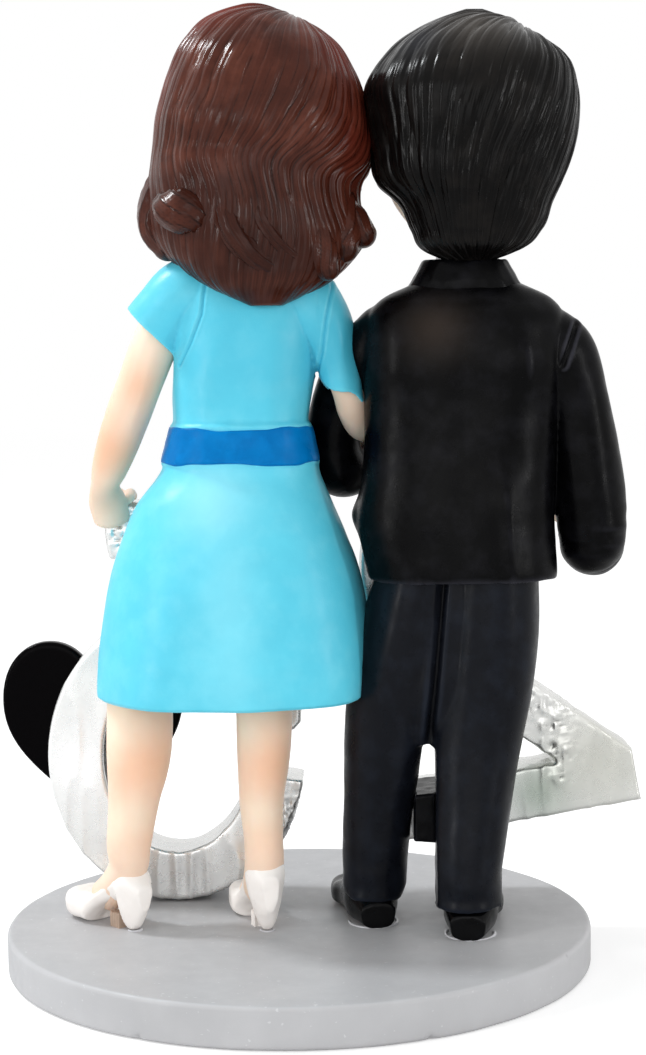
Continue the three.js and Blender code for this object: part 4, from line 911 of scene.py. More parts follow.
def head_form(who, neck_foot):
    """Skull, neck, nose and mouth in one skin, with hollows for the eyes."""
    x, y, z, *_ = heads[who]
    stations = [[x + neck_foot, y + 2.5, z - 27, 4.6, 4.6],
                [x + neck_foot * 0.4, y + 1.7, z - 20, 4.5, 4.5], [x, y + 1, z - 14.5, 4.6, 4.6]]
    neck = limb(stations, rings=30, sides=48, domes=(False, False))
    ridge = [[0, -15.4, 1.5, 0.9, 0.8], [0, -15.9, -1.5, 1.0, 1.0], [0, -16.2, -4, 1.2, 1.3]]
    features = [stack(head_rows, rings=70, sides=90, power=HEAD_POWER),
                ball(0, -16.0, -4.3, 1.5, 1.7, 1.4), limb(ridge, rings=12, sides=20),
                ball(0, -13.9, -9.75, 2.7, 1.2, 0.7), ball(0, -13.8, -10.9, 2.2, 1.2, 0.8)]
    if who == "groom":
        features += [ball(x, 0.5, -3.5, 1.2, 2.4, 3.6) for x in (16.3, -16.3)]
    form = fused([neck, *(from_head(who, feature) for feature in features)], 0.3, 3)
    local = to_head(who, form.points)
    socket = np.zeros(len(local))
    for way in (1, -1):
        away = np.hypot((local[:, 0] - way * EYE_X) / 3.9, (local[:, 2] - 0.6) / 3.6)
        socket += 0.7 * np.exp(-away ** 4) * (local[:, 1] < -8)
    form.push(-socket)
    rose, flush = "ee9d86", 0.45 if who == "bride" else 0.25
    spots = [(*from_head(who, [x, -13.2, -6.2]), 3.6, rose, flush) for x in (9.2, -9.2)]
    spots.append((*from_head(who, [0, -17.5, -4.6]), 1.6, rose, 0.3))
    return airbrush_and_painted_light(form, spots).mark_relief(6, 0.25)


piece("bride_head_sculpt", head_form("bride", 3), "skin", ["bride_head"])
piece("groom_head_sculpt", head_form("groom", 1), "skin", ["groom_head"])


def lens(who, x, z, half, tall, depth):
    """A flat oval cap that lies on the face, proud of it by its depth."""
    turn = around(48)
    rings = []
    for share in (0.3, 0.55, 0.75, 0.9, 0.98, 1.0):
        lift = depth * math.sqrt(1 - share * share)
        across = half * share * np.cos(turn)
        out = SOCKET + 0.12 * abs(x) - lift + 0.045 * across ** 2
        rings.append(np.stack([x + across, out, z + tall * share * np.sin(turn)], -1))
    rings.append(rings[-1] + [0, 1.6, 0])
    return closed(from_head(who, np.array(rings)))


def face_at(x, z, sunk):
    """A place on the front of the face, sunk a little into it."""
    _, y, half, _, front = spline(head_rows[:, 0], head_rows[:, 1:], [z])[0]
    ahead = (1 - (abs(x) / half) ** HEAD_POWER) ** (1 / HEAD_POWER)
    return [x, y - front * ahead + sunk, z]


lip_paths = (
    [[-2.7, -14.0, -9.95, 0.2, 0.3], [-1.4, -14.8, -9.6, 0.42, 0.5], [0, -15, -9.75, 0.36, 0.45],
     [1.4, -14.8, -9.6, 0.42, 0.5], [2.7, -14.0, -9.95, 0.2, 0.3]],
    [[-2.2, -14.05, -10.35, 0.2, 0.3], [0, -14.9, -10.95, 0.52, 0.5], [2.2, -14.05, -10.35, 0.2, 0.3]],
)


def lips_form(who):
    return fused([from_head(who, limb(path, rings=40, sides=24)) for path in lip_paths], 0.12, 3)


for who in ("bride", "groom"):
    lips = lips_form(who)
    if who == "groom":
        airbrush_and_painted_light(lips, [(*from_head(who, [0, -15, -10]), 6, "c9806f", 0.8)])
    piece(f"{who}_lips", lips, "lips")
    for side, way in (("left", 1), ("right", -1)):
        steps = ((3.9, 5.7, 0.28), (5.4, 6.5, 0.42), (7.4, 6.7, 0.38), (9.5, 5.7, 0.15))
        brow = [[*face_at(way * along, high, 0.05), tall, 0.3] for along, high, tall in steps]
        piece(f"{who}_brow_{side}", closed(from_head(who, limb(brow, rings=40, sides=20))), "brow")
        eye, inner = f"{who}_eye_{side}", (EYE_X - 0.2) * way
        piece(f"{eye}_white", lens(who, EYE_X * way, 0.6, 2.8, 3.3, 1.0), "eye_white", [eye])
        piece(f"{eye}_iris", lens(who, inner, 0.4, 1.9, 2.5, 1.25), "iris")
        piece(f"{eye}_pupil", lens(who, inner, 0.4, 1.0, 1.5, 1.45), "pupil")
        piece(f"{eye}_glint", lens(who, inner + 0.6, 1.4, 0.45, 0.55, 1.5), "eye_white")


# Hair

def inside(p, rows, shrunk=0.0):
    """Which points lie in the body that the rows give, shrunk on all sides."""
    rows = np.asarray(rows, float)
    x, y, half, back, front = spline(rows[:, 0], rows[:, 1:], p[:, 2]).T
    depth = np.where(p[:, 1] > y, back, front) - shrunk
    across = np.abs((p[:, 0] - x) / (half - shrunk)) ** HEAD_POWER
    along = np.abs((p[:, 1] - y) / depth) ** HEAD_POWER
    return (across + along < 1) & (p[:, 2] > rows[0, 0] + shrunk) & (p[:, 2] < rows[-1, 0] - shrunk)


def reach_along(holds, centre, ways):
    """How far each way runs from the centre before it leaves the body that holds its points."""
    near = np.zeros(len(ways))
    far = np.full(len(ways), 60.0)
    for _ in range(22):
        guess = (near + far) / 2
        hit = holds(centre + ways * guess[:, None])
        near, far = np.where(hit, guess, near), np.where(hit, far, guess)
    return near


def flow_ways(crown, nape, columns, rings):
    """Directions on lines that leave the crown and meet again at the nape, with how far each has run."""
    crown, top = unit(crown), -unit(nape)
    east = unit(np.array([1, 0, 0]) - top[0] * top)
    north = np.cross(top, east)
    flat = np.array([crown @ east, crown @ north]) / (1 + crown @ top)
    fall = (np.arange(rings) + 0.5) / rings
    turn = around(columns)
    run = (np.tan(np.pi / 2 * fall) * (1 + flat @ flat))[:, None]
    u, v = flat[0] + run * np.cos(turn), flat[1] + run * np.sin(turn)
    square = (u * u + v * v)[..., None]
    ways = (2 * u[..., None] * east + 2 * v[..., None] * north + (1 - square) * top) / (1 + square)
    return ways.reshape(-1, 3), np.repeat(fall, columns), np.tile(turn, rings)


def locks(phase, count, place, seed, wobble=0.35, drift=12.0):
    """Rounded locks with sharp furrows between them, 0 in the furrow and 1 on the crest."""
    u = phase * count / (2 * np.pi) + wobble * noise(place, drift, seed)
    part = u - np.floor(u)
    key = (np.floor(u).astype(np.int64) % count) * 7919 + seed * 104729
    high = 0.55 + 0.45 * (((key * 2654435761) >> 8) & 0xFF) / 255
    crest = 1 - np.abs(2 * part - 1) ** 2.2
    return crest * high


def hair_form(who, rows, centre, crown, nape, columns, rings, wave, swell, opening, last=(1.0, 0.93)):
    """Combed hair round a head, open over the face down to the skull under it."""
    ways, falls, turns = flow_ways(crown, nape, columns, rings)
    centre = np.asarray(centre, float)
    radius = reach_along(lambda p: inside(p, rows), centre, ways)
    skin = centre + ways * radius[:, None]
    phase = turns + wave(turns, falls)
    fade = ease_between(0.0, 0.10, falls) * ease_between(*last, falls)
    calm = 0.55 + 0.45 * ease_between(-0.5, 0.4, noise(skin, 11.0, 7))
    # Broad locks, the strands in them and fine hairs, with a dimple at the crown
    relief = 0.62 * calm * (locks(phase, 20, skin, 1) - 0.62) * fade
    relief += 0.30 * calm * (locks(phase, 58, skin, 2, 0.5, 8.0) - 0.6) * fade
    relief += 0.10 * (locks(phase, 150, skin, 3, 0.6, 5.0) - 0.6) * ease_between(0.04, 0.2, falls) * fade
    relief -= 0.8 * bell(falls / 0.03)
    radius = radius + relief + swell(turns, falls)
    local = to_head(who, centre + ways * radius[:, None])
    brow, chin, cheek, jaw = opening
    x, z = local[:, 0], local[:, 2]
    width = np.where(z > 0, cheek * np.sqrt(np.clip(1 - (z / brow) ** 2, 0, 1)),
                     cheek + (jaw - cheek) * np.clip(z / chin, 0, 1) ** 1.5)
    open_share = ease_between(0.5, -0.5, np.abs(x) - width) * ease_between(-2, -3.5, local[:, 1])
    under = reach_along(lambda p: inside(to_head(who, p), head_rows, 1.4), centre, ways)
    radius = radius + open_share * (np.minimum(under, radius) - radius)
    return closed((centre + ways * radius[:, None]).reshape(rings, columns, 3)[::-1])


# Outline of each head of hair: height, x, y, half width, depth back and depth front
bride_hair_rows = [
    [113.2, -5, 8, 3, 3, 3], [116.5, -5, 6, 10, 8, 8], [121, -4.6, 3, 15.8, 12, 12],
    [125.5, -3.9, 0, 19.2, 15.6, 14.5], [131, -3.2, -2, 19.8, 18, 16],
    [139.5, -4.4, -3.5, 20.1, 20.4, 16.5], [148, -4.6, -3.8, 19.2, 21, 17.5],
    [155, -4.5, -3.8, 17, 19.4, 17], [161, -4, -3.6, 13.4, 15.4, 13.5],
    [165, -3.2, -3.2, 8.2, 9.6, 8.6], [167.4, -3, -3, 2.2, 2.4, 2.4],
]
groom_hair_rows = [
    [120.6, -1, 3, 3.6, 4, 4], [122.6, -1.8, 2.2, 8.6, 8, 8], [126.2, -2.7, 0.8, 11.7, 11, 9.6],
    [131.2, -2.6, -0.8, 13.9, 14, 11.6], [134.6, -1.7, -1.8, 16.6, 16, 13.6],
    [140, -2.2, -2.7, 18.3, 17.7, 15.4], [146, -2.4, -3, 19.1, 18.8, 16.8],
    [151.5, -2.1, -3, 19.1, 18.6, 17.4], [156.4, -2.7, -3, 16.7, 16.8, 16],
    [161, -2.3, -3, 11.2, 12, 11.6], [164.2, -2.8, -3, 5, 5.6, 5.4], [165.3, -2.8, -3, 1.6, 1.8, 1.8],
]


def bride_wave(turn, fall):
    right = bell((turn - 2.35) / 0.95)
    sweep = ease_between(0.36, 0.6, fall) - 0.2 * ease_between(0.62, 0.84, fall)
    ripple = 0.08 * np.sin(2 * np.pi * (fall - 0.47) / 0.33 + 0.8 * np.sin(2 * turn))
    ripple *= ease_between(0.44, 0.56, fall)
    lift = np.sin(np.pi * np.clip(fall / 0.4, 0, 1))
    return (0.36 * right + 0.06) * sweep - 0.16 * right * lift + ripple


def bride_swell(turn, fall):
    right = bell((turn - 2.4) / 0.8)
    left = bell((turn - 0.9) / 0.6)
    crest = bell((fall - 0.43) / 0.06) - bell((fall - 0.57) / 0.05)
    dip = 0.6 * bell((fall - 0.45) / 0.04) - bell((fall - 0.52) / 0.035)
    return 0.45 * right * crest + 0.6 * left * dip


def groom_wave(turn, fall):
    return 0.06 * np.sin(2 * turn + 5 * fall)


def groom_swell(turn, fall):
    return 0.15 * np.sin(5 * turn + 1) * np.sin(np.pi * fall)


def grooved(grid, seed):
    """Runs comb furrows along a lock, with a slow twist."""
    count, depth, twist = 9, 0.28, 1.2
    form = closed(grid)
    rings, sides = grid.shape[:2]
    along = np.repeat(np.linspace(0, 1, rings), sides)
    ends = ease_between(0, 0.08, along) * ease_between(1, 0.9, along)
    phase = np.tile(around(sides), rings) + twist * along
    place = grid.reshape(-1, 3)
    ridge = depth * (locks(phase, count, place, 30 + seed, 0.4, 5.0) - 0.6)
    ridge += 0.4 * depth * (locks(phase, 3 * count, place, 60 + seed, 0.5, 4.0) - 0.6)
    form.push(np.concatenate([ridge * ends, [0, 0]]))
    return form.mark_relief(3, 0.12)


bride_hair = hair_form("bride", placed(bride_hair_rows, BRIDE), (BRIDE[0] - 4.3, BRIDE[1] - 2, 141),
                       (-0.27, 0.04, 0.96), (0, 0.12, -1), 620, 190, bride_wave, bride_swell,
                       (10.5, -34, 15.5, 9), (0.92, 0.76))
swollen(bride_hair, [(-14.6, 3, 132.6, 2.6, -1.6), (-14, -1, 134, 3.2, -1.7), (-13.6, 8, 126, 3, 0.5),
                     (16, 10, 139, 4.5, -0.5), (17, 16.5, 134.4, 2.4, -0.7)])
# Reddish tones in the paint, with painted shade low on the back of the hair and in the hollow above the
# rolled lock
red = "8a2d1e"
bride_tones_and_shade = [(4, 16, 124, 14, "1f0b06", 0.65), (17.5, 17, 134.2, 2.6, "120504", 0.6),
               (11, 3, 164, 7, red, 0.6), (23.5, 2, 153, 6, red, 0.5), (-9, 6, 158, 7, red, 0.45),
               (-12, 8, 142, 7, red, 0.35)]
airbrush_and_painted_light(bride_hair, bride_tones_and_shade)
piece("bride_hair_sculpt", bride_hair.mark_relief(3, 0.11), "hair_brown", ["bride_hair"])

# Locks that end the bride's hair, each with stations of x, y, z, half width and half depth
bride_locks = [
    [[19.5, 2.4, 142, 1.6, 2.4], [22, 3, 137, 2.4, 3.6], [23.5, 3.6, 131.5, 3.3, 4.4],
     [23.3, 4, 127.4, 3.4, 4.2], [21.6, 4.4, 124.2, 2.6, 3.2]],
    [[21.6, 11.8, 131.2, 2.4, 2], [20.2, 13.8, 130.4, 3.5, 3], [18, 15.2, 129.6, 3.9, 3.5],
     [16.2, 15.5, 128.8, 3.3, 2.8], [14.8, 14.6, 127.8, 2, 1.8]],
    [[12.2, 14.8, 137, 1.4, 0.8], [11.4, 16.5, 131.5, 2, 1.4], [9.8, 17.5, 126.6, 2.2, 1.6],
     [7, 17.6, 122.8, 2.1, 1.6], [3.6, 16.7, 120.2, 1.8, 1.4], [0.8, 15.2, 119, 1.4, 1.1]],
    [[5.4, 16.2, 134, 1, 0.6], [4.8, 17.8, 129.4, 1.4, 0.9], [3, 17.8, 125.6, 1.5, 1],
     [0, 17, 122.8, 1.4, 1], [-2.6, 15.6, 121.2, 1.1, 0.8]],
    [[-7.6, 6, 133.4, 1.6, 2.4], [-9.2, 7, 130.8, 2.5, 3.6], [-11.6, 7.8, 128, 2.9, 3.6],
     [-13.4, 8, 125.6, 2.4, 2.8]],
    [[-9, 8.4, 131, 3.4, 3.4], [-9.6, 9.6, 126, 3.6, 3.6], [-9.8, 10.2, 123.2, 2.8, 3]],
    [[-4.6, 13.6, 128, 2.2, 2], [-6, 14.4, 123, 2.6, 2.4], [-7, 14.2, 119.6, 2.3, 2.3]],
    [[20.4, -7, 138, 2, 2.2], [21.2, -7.4, 131, 2.9, 2.9], [20.4, -7.2, 126, 2.4, 2.4]],
    [[-9.4, -4, 136, 2, 2.2], [-10.4, -4.6, 131, 2.6, 2.8], [-11, -4.4, 126, 2.2, 2.4]],
]
for index, stations in enumerate(bride_locks):
    lock = grooved(limb(stations, rings=80, sides=72), index)
    piece(f"bride_lock_{index + 1}", airbrush_and_painted_light(lock, bride_tones_and_shade), "hair_brown")

groom_hair = hair_form("groom", placed(groom_hair_rows, GROOM), (GROOM[0] - 2.4, GROOM[1] - 2.5, 145),
                       (-0.49, -0.03, 0.87), (0, 0.26, -0.96), 560, 170, groom_wave, groom_swell,
                       (10, -40, 17.5, 15))
# Painted highlight: brownish grey and bluish grey sheen near the top of the hair
airbrush_and_painted_light(groom_hair, [(-34, 12, 158, 6.5, "6a645e", 0.6), (-25, 12, 157, 4, "4a4d55", 0.35)])
piece("groom_hair_sculpt", groom_hair.mark_relief(3, 0.11), "hair_black", ["groom_hair"])


# Groom's jacket

JACKET_HEM, JACKET_SHOULDER = 63.9, 113.6


def up_jacket(share):
    return JACKET_HEM + share * (JACKET_SHOULDER - JACKET_HEM)


# Rows up to the shoulders, whose heights are shares of the jacket's
jacket_shares = [
    [0, 0.4, 0, 16.9, 13, 12], [0.04, 0.6, 0, 17.2, 13.2, 12.2], [0.21, 1.6, 0, 17.8, 13, 12.2],
    [0.4, 0.9, 0, 17.3, 12, 11.4], [0.6, 0.3, 0, 17.4, 12, 11.4], [0.785, 0, 0, 18, 12.2, 11.8],
    [0.93, -0.4, 0, 17.8, 11, 10.6],
]
shoulder_rows = [
    [113.6, -0.6, 0, 15.6, 8.8, 8.4], [116.2, -0.6, 0, 10.8, 6.8, 6.6], [117.6, -0.6, 0, 7.4, 5.8, 5.8],
]
jacket_rows = [[up_jacket(share), *rest] for share, *rest in jacket_shares] + shoulder_rows
groom_sleeves = {
    "left": [[-17.5, 5.4, 107, 6.4, 6.4], [-13.4, 2.4, 103, 6.2, 6.2], [-9.4, -2.6, 96.4, 5.5, 5.6],
             [-7.6, -5, 89, 5.1, 5.4], [-8.8, -6.6, 83.4, 5.3, 5.2], [-12.4, -11.6, 83.6, 4.7, 4.7],
             [-17, -15.6, 86, 4.2, 4.2]],
    "right": [[-44.5, 6, 107, 6.6, 6.6], [-48.6, 6, 103.6, 6.6, 6.8], [-51.2, 5.6, 96, 6.1, 6.6],
              [-52.8, 5.2, 87, 6.3, 6.6], [-54, 4.8, 77.5, 6.4, 6.6], [-54.6, 3.4, 70, 5.9, 6.2],
              [-55, -3, 68.8, 5.1, 5.1], [-54, -9, 70.6, 4.5, 4.5]],
}
CHEST_X, CHEST_FOOT, CHEST_TOP = GROOM[0] - 0.3, up_jacket(0.54), 119.6


def jacket_form():
    """Torso and sleeves in one skin, open over the chest, with folds at the elbow and down the back."""
    parts = [stack(placed(jacket_rows, GROOM), rings=110, sides=150, power=2.5)]
    for path in groom_sleeves.values():
        sleeve = limb(path, rings=90, sides=60, toward=(0.25, 1, 0.35), domes=(True, False))
        parts.append(mouth(sleeve, 0.6, 1.5))
    form = fused(parts, 0.4, 2)
    p = form.points
    half = 6.4 * (p[:, 2] - CHEST_FOOT) / (CHEST_TOP - CHEST_FOOT)
    vee = ease_between(0.25, -0.25, np.abs(p[:, 0] - CHEST_X) - half) * (p[:, 1] < GROOM[1] - 3)
    form.push(-1.7 * vee)
    p = form.points
    elbow = bell(np.linalg.norm((p - [-57, 6, 72]) / [6, 8, 7], axis=1))
    wrinkles = 0.4 * elbow * noise(p, (6.0, 6.0, 1.8), 51)
    wrinkles += 0.16 * noise(p, (4.5, 4.5, 16.0), 52) + 0.05 * noise(p, 3.0, 53)
    wrinkles += sewn(p, [(-50.9, 109), (-49.6, 105.6), (-48.3, 102)], 0.5, 0.4) * (p[:, 1] > 2)
    ridges = (([(-41, 0, 114), (-42.6, 0, 90)], 102, 5), ([(-36.4, 0, 96), (-39, 0, 60)], 73, 9))
    for path, middle, run in ridges:
        away = distance_to(p * [1, 0, 1], path)
        wrinkles += 0.36 * bell(away / 1.2) * bell((p[:, 2] - middle) / run) * (p[:, 1] > 8)
    form.push(wrinkles)
    swollen(form, [(-42, 16, 103, 4.5, 0.6), (-20, 15, 104, 5, 0.5), (-31, 18, 98, 7, -0.5),
                   (-38.5, 18, 79, 3.5, 0.5), (-24, 18, 80, 6, 0.3), (-11.6, 4, 75.5, 2.6, 0.9),
                   (-12.4, 6, 70, 1.6, -0.6), (-22, 18, 66, 3, 0.35)])
    # Painted sheen: a warm lighter patch high on the back
    airbrush_and_painted_light(form, [(-25.6, 17, 109, 5, "473d36", 0.4)])
    return form.mark_relief(7, 0.2)


piece("groom_jacket_sculpt", jacket_form(), "suit",
      ["groom_jacket", "groom_sleeve_left", "groom_sleeve_right"])

# The groom's small parts, each with its finish
small_parts = {
    "collar": "suit", "lapel_left": "suit", "lapel_right": "suit", "shirt": "shirt", "tie": "belt",
    "cuff_left": "shirt", "cuff_right": "shirt", "hand_left": "skin", "hand_right": "skin",
    "jacket_button_1": "black_gloss", "jacket_button_2": "black_gloss",
}
for part, finish in small_parts.items():
    softness, unevenness = (14, 0.12) if part == "collar" else (3, 0.03)
    form = from_node(f"groom_{part}", 0.2, softness)
    form.push(unevenness * noise(form.points, 2.0, 61))
    piece(f"groom_{part}_sculpt", form.mark_relief(4, 0.12), finish, [f"groom_{part}"])


# Groom's trousers and shoes

CROTCH = 33.6
trouser_hips = [
    [CROTCH + 0.4, 6.9, 1, 5, 4.4, 5], [43, 5.2, 0, 13.4, 9, 9.6], [52.5, 2.8, 0, 15.6, 9.6, 10.8],
    [62, 1.5, 0, 14.8, 9.8, 10.6], [72.5, 1.2, 0, 13, 9, 9],
]
trouser_legs = {
    "left": [[-13.8, 2.6, 5, 5.6, 6.4], [-14.2, 3, 12.5, 6.1, 6.6], [-15, 3.6, 22.5, 6.5, 6.9],
             [-16.2, 4.8, 33.5, 7.5, 7.9], [-17.6, 5.4, 43.5, 8, 9.6], [-19.8, 6, 54, 7.8, 11],
             [-22, 6, 66, 6.8, 11.6]],
    "right": [[-30.4, 12, 5, 6.3, 7], [-30.5, 11.6, 12.5, 6.5, 7.2], [-31.6, 10.4, 22.5, 7.1, 7.5],
              [-32.5, 9, 33.5, 8.2, 8.1], [-33.8, 7.8, 43.5, 9, 9.6], [-35, 6.8, 54, 9.3, 11],
              [-35.6, 6.4, 66, 8.8, 11.6]],
}


def trousers_form():
    """Hips and legs in one skin, with a slot between the legs and a seam up the seat."""
    parts = [stack(placed(trouser_hips, GROOM), rings=70, sides=120)]
    for path in trouser_legs.values():
        grid = limb(path, rings=90, sides=72, domes=(False, False))
        parts.append(mouth(grid[::-1, ::-1], 0.8, 1.4)[::-1, ::-1])
    form = fused(parts, 0.35, 2)
    p = form.points
    low = p[:, 2] < CROTCH
    edges = [[-19.8, -24.7], [-20.6, -25], [-21.6, -25.2], [-23, -25.2]]
    left_edge, right_edge = spline([-1, 12, 22, CROTCH], edges, p[:, 2]).T
    middle = (left_edge + right_edge) / 2
    p[:, 0] = np.where(low & (p[:, 0] > middle), np.maximum(p[:, 0], left_edge), p[:, 0])
    p[:, 0] = np.where(low & (p[:, 0] <= middle), np.minimum(p[:, 0], right_edge), p[:, 0])
    form.soften(4)
    p = form.points
    across = p[:, 0] + 24.0 + 0.09 * np.maximum(p[:, 2] - 34, 0)
    behind = (p[:, 1] > 7) * ease_between(33, 37, p[:, 2])
    form.push((0.5 * bell(across - 1.7) - 1.3 * bell(across / 0.7)) * behind)
    p = form.points
    folds = 0.16 * noise(p, (4.0, 4.0, 18.0), 71) + 0.04 * noise(p, 3.0, 72)
    ankle = ease_between(16, 5, p[:, 2])
    form.push(folds + 0.3 * ankle * noise(p, (4.5, 4.5, 2.6), 73))
    return form.mark_relief(7, 0.2)


piece("groom_trousers_sculpt", trousers_form(), "trousers", ["groom_trousers"])

BROGUE_LENGTH = 27.0


def brogue_form(side):
    """A plain black shoe, narrower under the heel, with a sole that stands out a little."""
    rows = np.array([[4.5, 7.6, 8.2, 7, 5.4, 5, 2.4], [3.4, 4.9, 4.9, 4.7, 5.4, 4.6, 2]]).T
    share = np.linspace(0, 1, 100)
    top, half = spline(np.arange(7), rows, share * 6).T
    turn = around(64)
    up = (bulge(np.sin(turn), 3) + 1) / 2
    heel = ease_between(0.3, 0.1, share)[:, None]
    x = half[:, None] * bulge(np.cos(turn), 2.6) * (1 - 0.2 * heel * (1 - up))
    grid = np.stack([x, -BROGUE_LENGTH * share[:, None] + 0 * up, top[:, None] * up], -1)
    sole = 1 + 0.05 * ease_between(1.6, 1.2, grid[..., 2:])
    grid[..., :1] *= sole
    form = fused([stepped(grid, groom_steps[side])[:, ::-1]], 0.28, 1)
    form.push(0.04 * noise(form.points, 2.0, 81))
    return form.mark_relief(5, 0.15)


def glue_form(step, back, half, deep):
    """A thin bead of clear glue round the back of a heel."""
    turn = np.radians(np.linspace(-15, 195, 40))
    path = np.stack([half * np.cos(turn), back + deep * np.sin(turn), 0.05 + 0 * turn], -1)
    path = stepped(path, step)
    thick = 0.24 + 0.12 * noise(path, 1.6, 82)
    stations = np.column_stack([path, thick, 0.8 * thick])
    return closed(limb(stations, rings=120, sides=16, toward=(0, 0, 1)))


for side in ("left", "right"):
    piece(f"groom_shoe_{side}_sculpt", brogue_form(side), "black_gloss", [f"groom_shoe_{side}"])
    piece(f"groom_shoe_{side}_glue", glue_form(groom_steps[side], -5.3, 4.4, 4.8), "glue")
    piece(f"bride_shoe_{side}_glue", glue_form(bride_steps[side], -3.4, 1.2, 1.3), "glue")


# Numerals, block and heart

NUMERAL_THICK = 12
# Half widths and rises of the 5's bowl and its hole, and where its stem stands
FIVE = {
    "x": 23.2, "z": 28.3, "half": 24.7, "rise": 28, "hole_half": 13.9, "hole_rise": 18.4,
    "left": -0.8, "stem": 10.7,
}
# Where the 2 stands, its tilt in degrees, its ring, and the slope of its stroke
TWO = {
    "x": -65.5, "z": 19, "tilt": 9.3, "width": 46, "rise": 49.5, "outer": 22.5, "inner": 12.5,
    "slope": 44, "tip": 142,
}
HEART = {"x": 40.4, "z": 14.4, "width": 35.4, "height": 34}


def five_outline():
    x, z, left, stem = FIVE["x"], FIVE["z"], FIVE["left"], FIVE["stem"]
    meet = math.degrees(math.acos((stem - x) / FIVE["half"]))
    top, under = 77, 66.4
    return np.concatenate([
        [[left, 34.7], [left, top], [left + 37, top], [left + 36, under], [stem, under]],
        arc(x, z, FIVE["half"], FIVE["rise"], meet, -170, 200),
        arc(x, z, FIVE["hole_half"], FIVE["hole_rise"], -170, 154, 160), [[left + 1.6, 32.9]]])


def two_outline():
    middle, rise, stroke = TWO["width"] / 2, TWO["rise"], TWO["outer"] - TWO["inner"]
    join = TWO["slope"] - 90
    outer = arc(middle, rise, TWO["outer"], TWO["outer"], join, TWO["tip"], 120)
    inner = arc(middle, rise, TWO["inner"], TWO["inner"], TWO["tip"], join, 100)
    slope = math.tan(math.radians(TWO["slope"]))
    return np.concatenate([
        [[0, 0], [TWO["width"], 0], [TWO["width"], stroke]],
        [[outer[0, 0] - (outer[0, 1] - stroke) / slope, stroke]],
        outer, inner, [[0, inner[-1, 1] - inner[-1, 0] * slope]]])


def heart_outline():
    half = [(0, 0), (0.28, 0.24), (0.5, 0.4), (0.5, 0.68), (0.5, 1.08), (0.1, 1.12), (0, 0.84)]
    side = []
    for a, b, c, d in (half[:4], half[3:]):
        t = np.linspace(0, 1, 50, endpoint=False)[:, None]
        a, b, c, d = np.array([a, b, c, d])
        side.append((1 - t) ** 3 * a + 3 * (1 - t) ** 2 * t * b + 3 * (1 - t) * t * t * c + t ** 3 * d)
    side = np.concatenate([*side, [half[-1]]]) * [HEART["width"], HEART["height"]]
    return np.concatenate([side, side[-2:0:-1] * [-1, 1]]) + [HEART["x"], HEART["z"]]


def crumpled(form, seed, places):
    """Foil pressed over a block: long soft pulls, with sharp crumples near places of x, z and reach."""
    p = form.points
    rough = np.zeros(len(p))
    for x, z, reach in places:
        rough += bell(np.hypot(p[:, 0] - x, p[:, 2] - z) / reach)
    rough = np.minimum(rough, 1)

    def crease(size, change):
        return 1 - 2 * np.abs(noise(p, size, seed + change))

    pulls = 0.16 * crease((3.0, 3.0, 13.0), 1) + 0.08 * noise(p, (6.0, 6.0, 9.0), seed + 4)
    sharp = 0.26 * crease(1.9, 2) + 0.22 * crease(0.9, 3)
    form.push(pulls + sharp * rough - 0.16)
    # Painted shade in the creases and painted highlight on the crests, weaker away from the crumpled
    # places
    form.mark_relief(4, 0.24)
    form.marks["relief"] = 0.5 + (form.marks["relief"] - 0.5) * (0.25 + 0.75 * rough)
    return form


five = outlined(five_outline(), -11, NUMERAL_THICK, 0.6, 0.35)
five = crumpled(five, 90, [(33, 72, 5.5), (1, 14, 6)])
# Painted light on the foil: a white painted highlight out on the bowl, a grey painted reflection of the
# plate near the foot, and darker grey low on the stem
airbrush_and_painted_light(five, [(42, -11, 28, 11, "ffffff", 0.7), (21, -11, 4, 9, "d0d0d0", 0.4),
            (0, -11, 13, 4.5, "77797a", 0.7)])
piece("number_5_foil", five, "foil", ["number_5"])
two = outlined(two_outline(), -9, NUMERAL_THICK, 0.6, 0.35)
lean = math.radians(TWO["tilt"])
flat_x, flat_z = two.points[:, 0].copy(), two.points[:, 2].copy()
two.points[:, 0] = TWO["x"] + math.cos(lean) * flat_x + math.sin(lean) * flat_z
two.points[:, 2] = TWO["z"] - math.sin(lean) * flat_x + math.cos(lean) * flat_z
two = crumpled(two, 95, [(-43, 39.5, 3.4), (-49, 35, 3.4), (-50, 29, 2.6), (-49.5, 24, 1.6)])
# Painted shade on the foil, which lies in the groom's shadow: greenish grey low on the bar, and duller
# grey further out
airbrush_and_painted_light(two, [(-46, -9, 21, 6, "9aa89d", 0.9), (-58, -9, 27, 12, "c6c6bb", 0.7)])
piece("number_2_foil", two, "foil", ["number_2"])
block = from_node("number_2_mount_block", 0.25, 2)
block.push(0.06 * noise(block.points, 1.5, 93))
piece("number_2_mount_block_cast", block.mark_relief(4, 0.12), "suit", ["number_2_mount_block"])
heart = outlined(heart_outline(), -23.3, 3.5, 0.7, 0.3)
piece("heart_plaque_cast", heart.mark_relief(4, 0.2), "heart_gloss", ["heart_plaque"])

for name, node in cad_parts.items():
    if "_pin" in name or "_peg_" in name:
        node.data.materials.clear()
        node.data.materials.append(paints["steel"])


# Floor and light

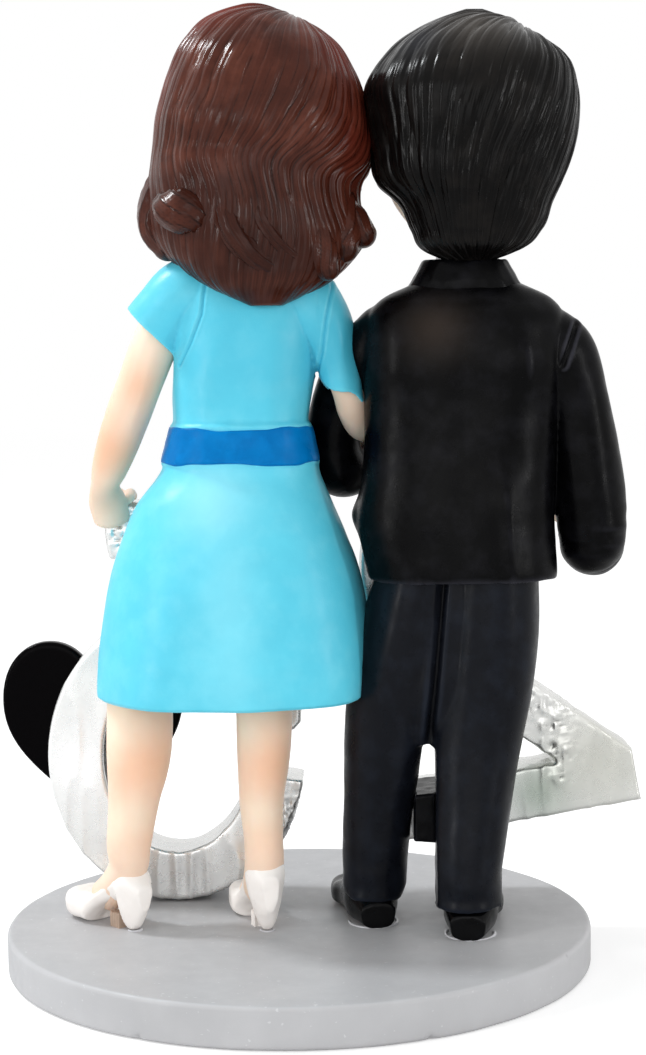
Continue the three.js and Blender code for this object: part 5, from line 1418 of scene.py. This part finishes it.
def floor_and_light():
    half = 3.0
    corners = [(x * half, y * half, 0) for x, y in ((-1, -1), (1, -1), (1, 1), (-1, 1))]
    mesh = bpy.data.meshes.new("floor")
    mesh.from_pydata(corners, [], [(0, 1, 2, 3)])
    material = bpy.data.materials.new("floor")
    node, join, _ = tree_tools(material)
    diffuse = node("ShaderNodeBsdfDiffuse", Color=(0.8, 0.8, 0.8, 1))
    glow = node("ShaderNodeEmission", Color=(1, 1, 1, 1), Strength=0.42)
    path = node("ShaderNodeLightPath")
    shut = node("ShaderNodeEmission", Color=(0, 0, 0, 1), Strength=0)
    pick = join("ShaderNodeMixShader", path.outputs["Is Camera Ray"], shut.outputs[0], glow.outputs[0])
    both = join("ShaderNodeAddShader", diffuse.outputs[0], pick)
    join("ShaderNodeOutputMaterial", both)
    mesh.materials.append(material)
    floor = linked("floor", mesh)

    world = bpy.data.worlds.new("studio")
    bpy.context.scene.world = world
    node, join, _ = tree_tools(world)
    path = node("ShaderNodeLightPath")
    seen = path.outputs["Is Camera Ray"]
    for ray in ("Is Transmission Ray", "Is Glossy Ray"):
        seen = join("ShaderNodeMath", seen, path.outputs[ray], operation="MAXIMUM")
    soft = node("ShaderNodeBackground", Color=(1, 1, 1, 1), Strength=0.72)
    white = node("ShaderNodeBackground", Color=(1, 1, 1, 1), Strength=1.0)
    pick = join("ShaderNodeMixShader", seen, soft.outputs[0], white.outputs[0])
    join("ShaderNodeOutputWorld", pick)

    def lamp(name, at, aim, size, power, colour=(1, 1, 1)):
        light = bpy.data.lights.new(name, "AREA")
        light.shape = "RECTANGLE"
        light.size, light.size_y = size
        light.energy = power
        light.color = colour
        back = unit(np.array(at) - np.array(aim))
        side = unit(np.cross([0, 0, 1], back))
        stand(linked(name, light), side, np.cross(back, side), back, at)

    # Place, aim and size in metres, then power and colour
    lamp("key", (0.39, -0.10, 0.55), (0, 0, 0.11), (0.08, 0.1), 2.0, (0.95, 0.98, 1.0))
    lamp("strip_left", (0.72, 0.48, 0.16), (0, 0, 0.09), (0.04, 0.6), 2.0)
    lamp("strip_right", (-0.74, 0.44, 0.14), (0, 0, 0.09), (0.04, 0.6), 1.8)
    lamp("fill", (0.1, 0.95, 0.2), (0, 0, 0.06), (0.8, 0.5), 1.5)


floor_and_light()
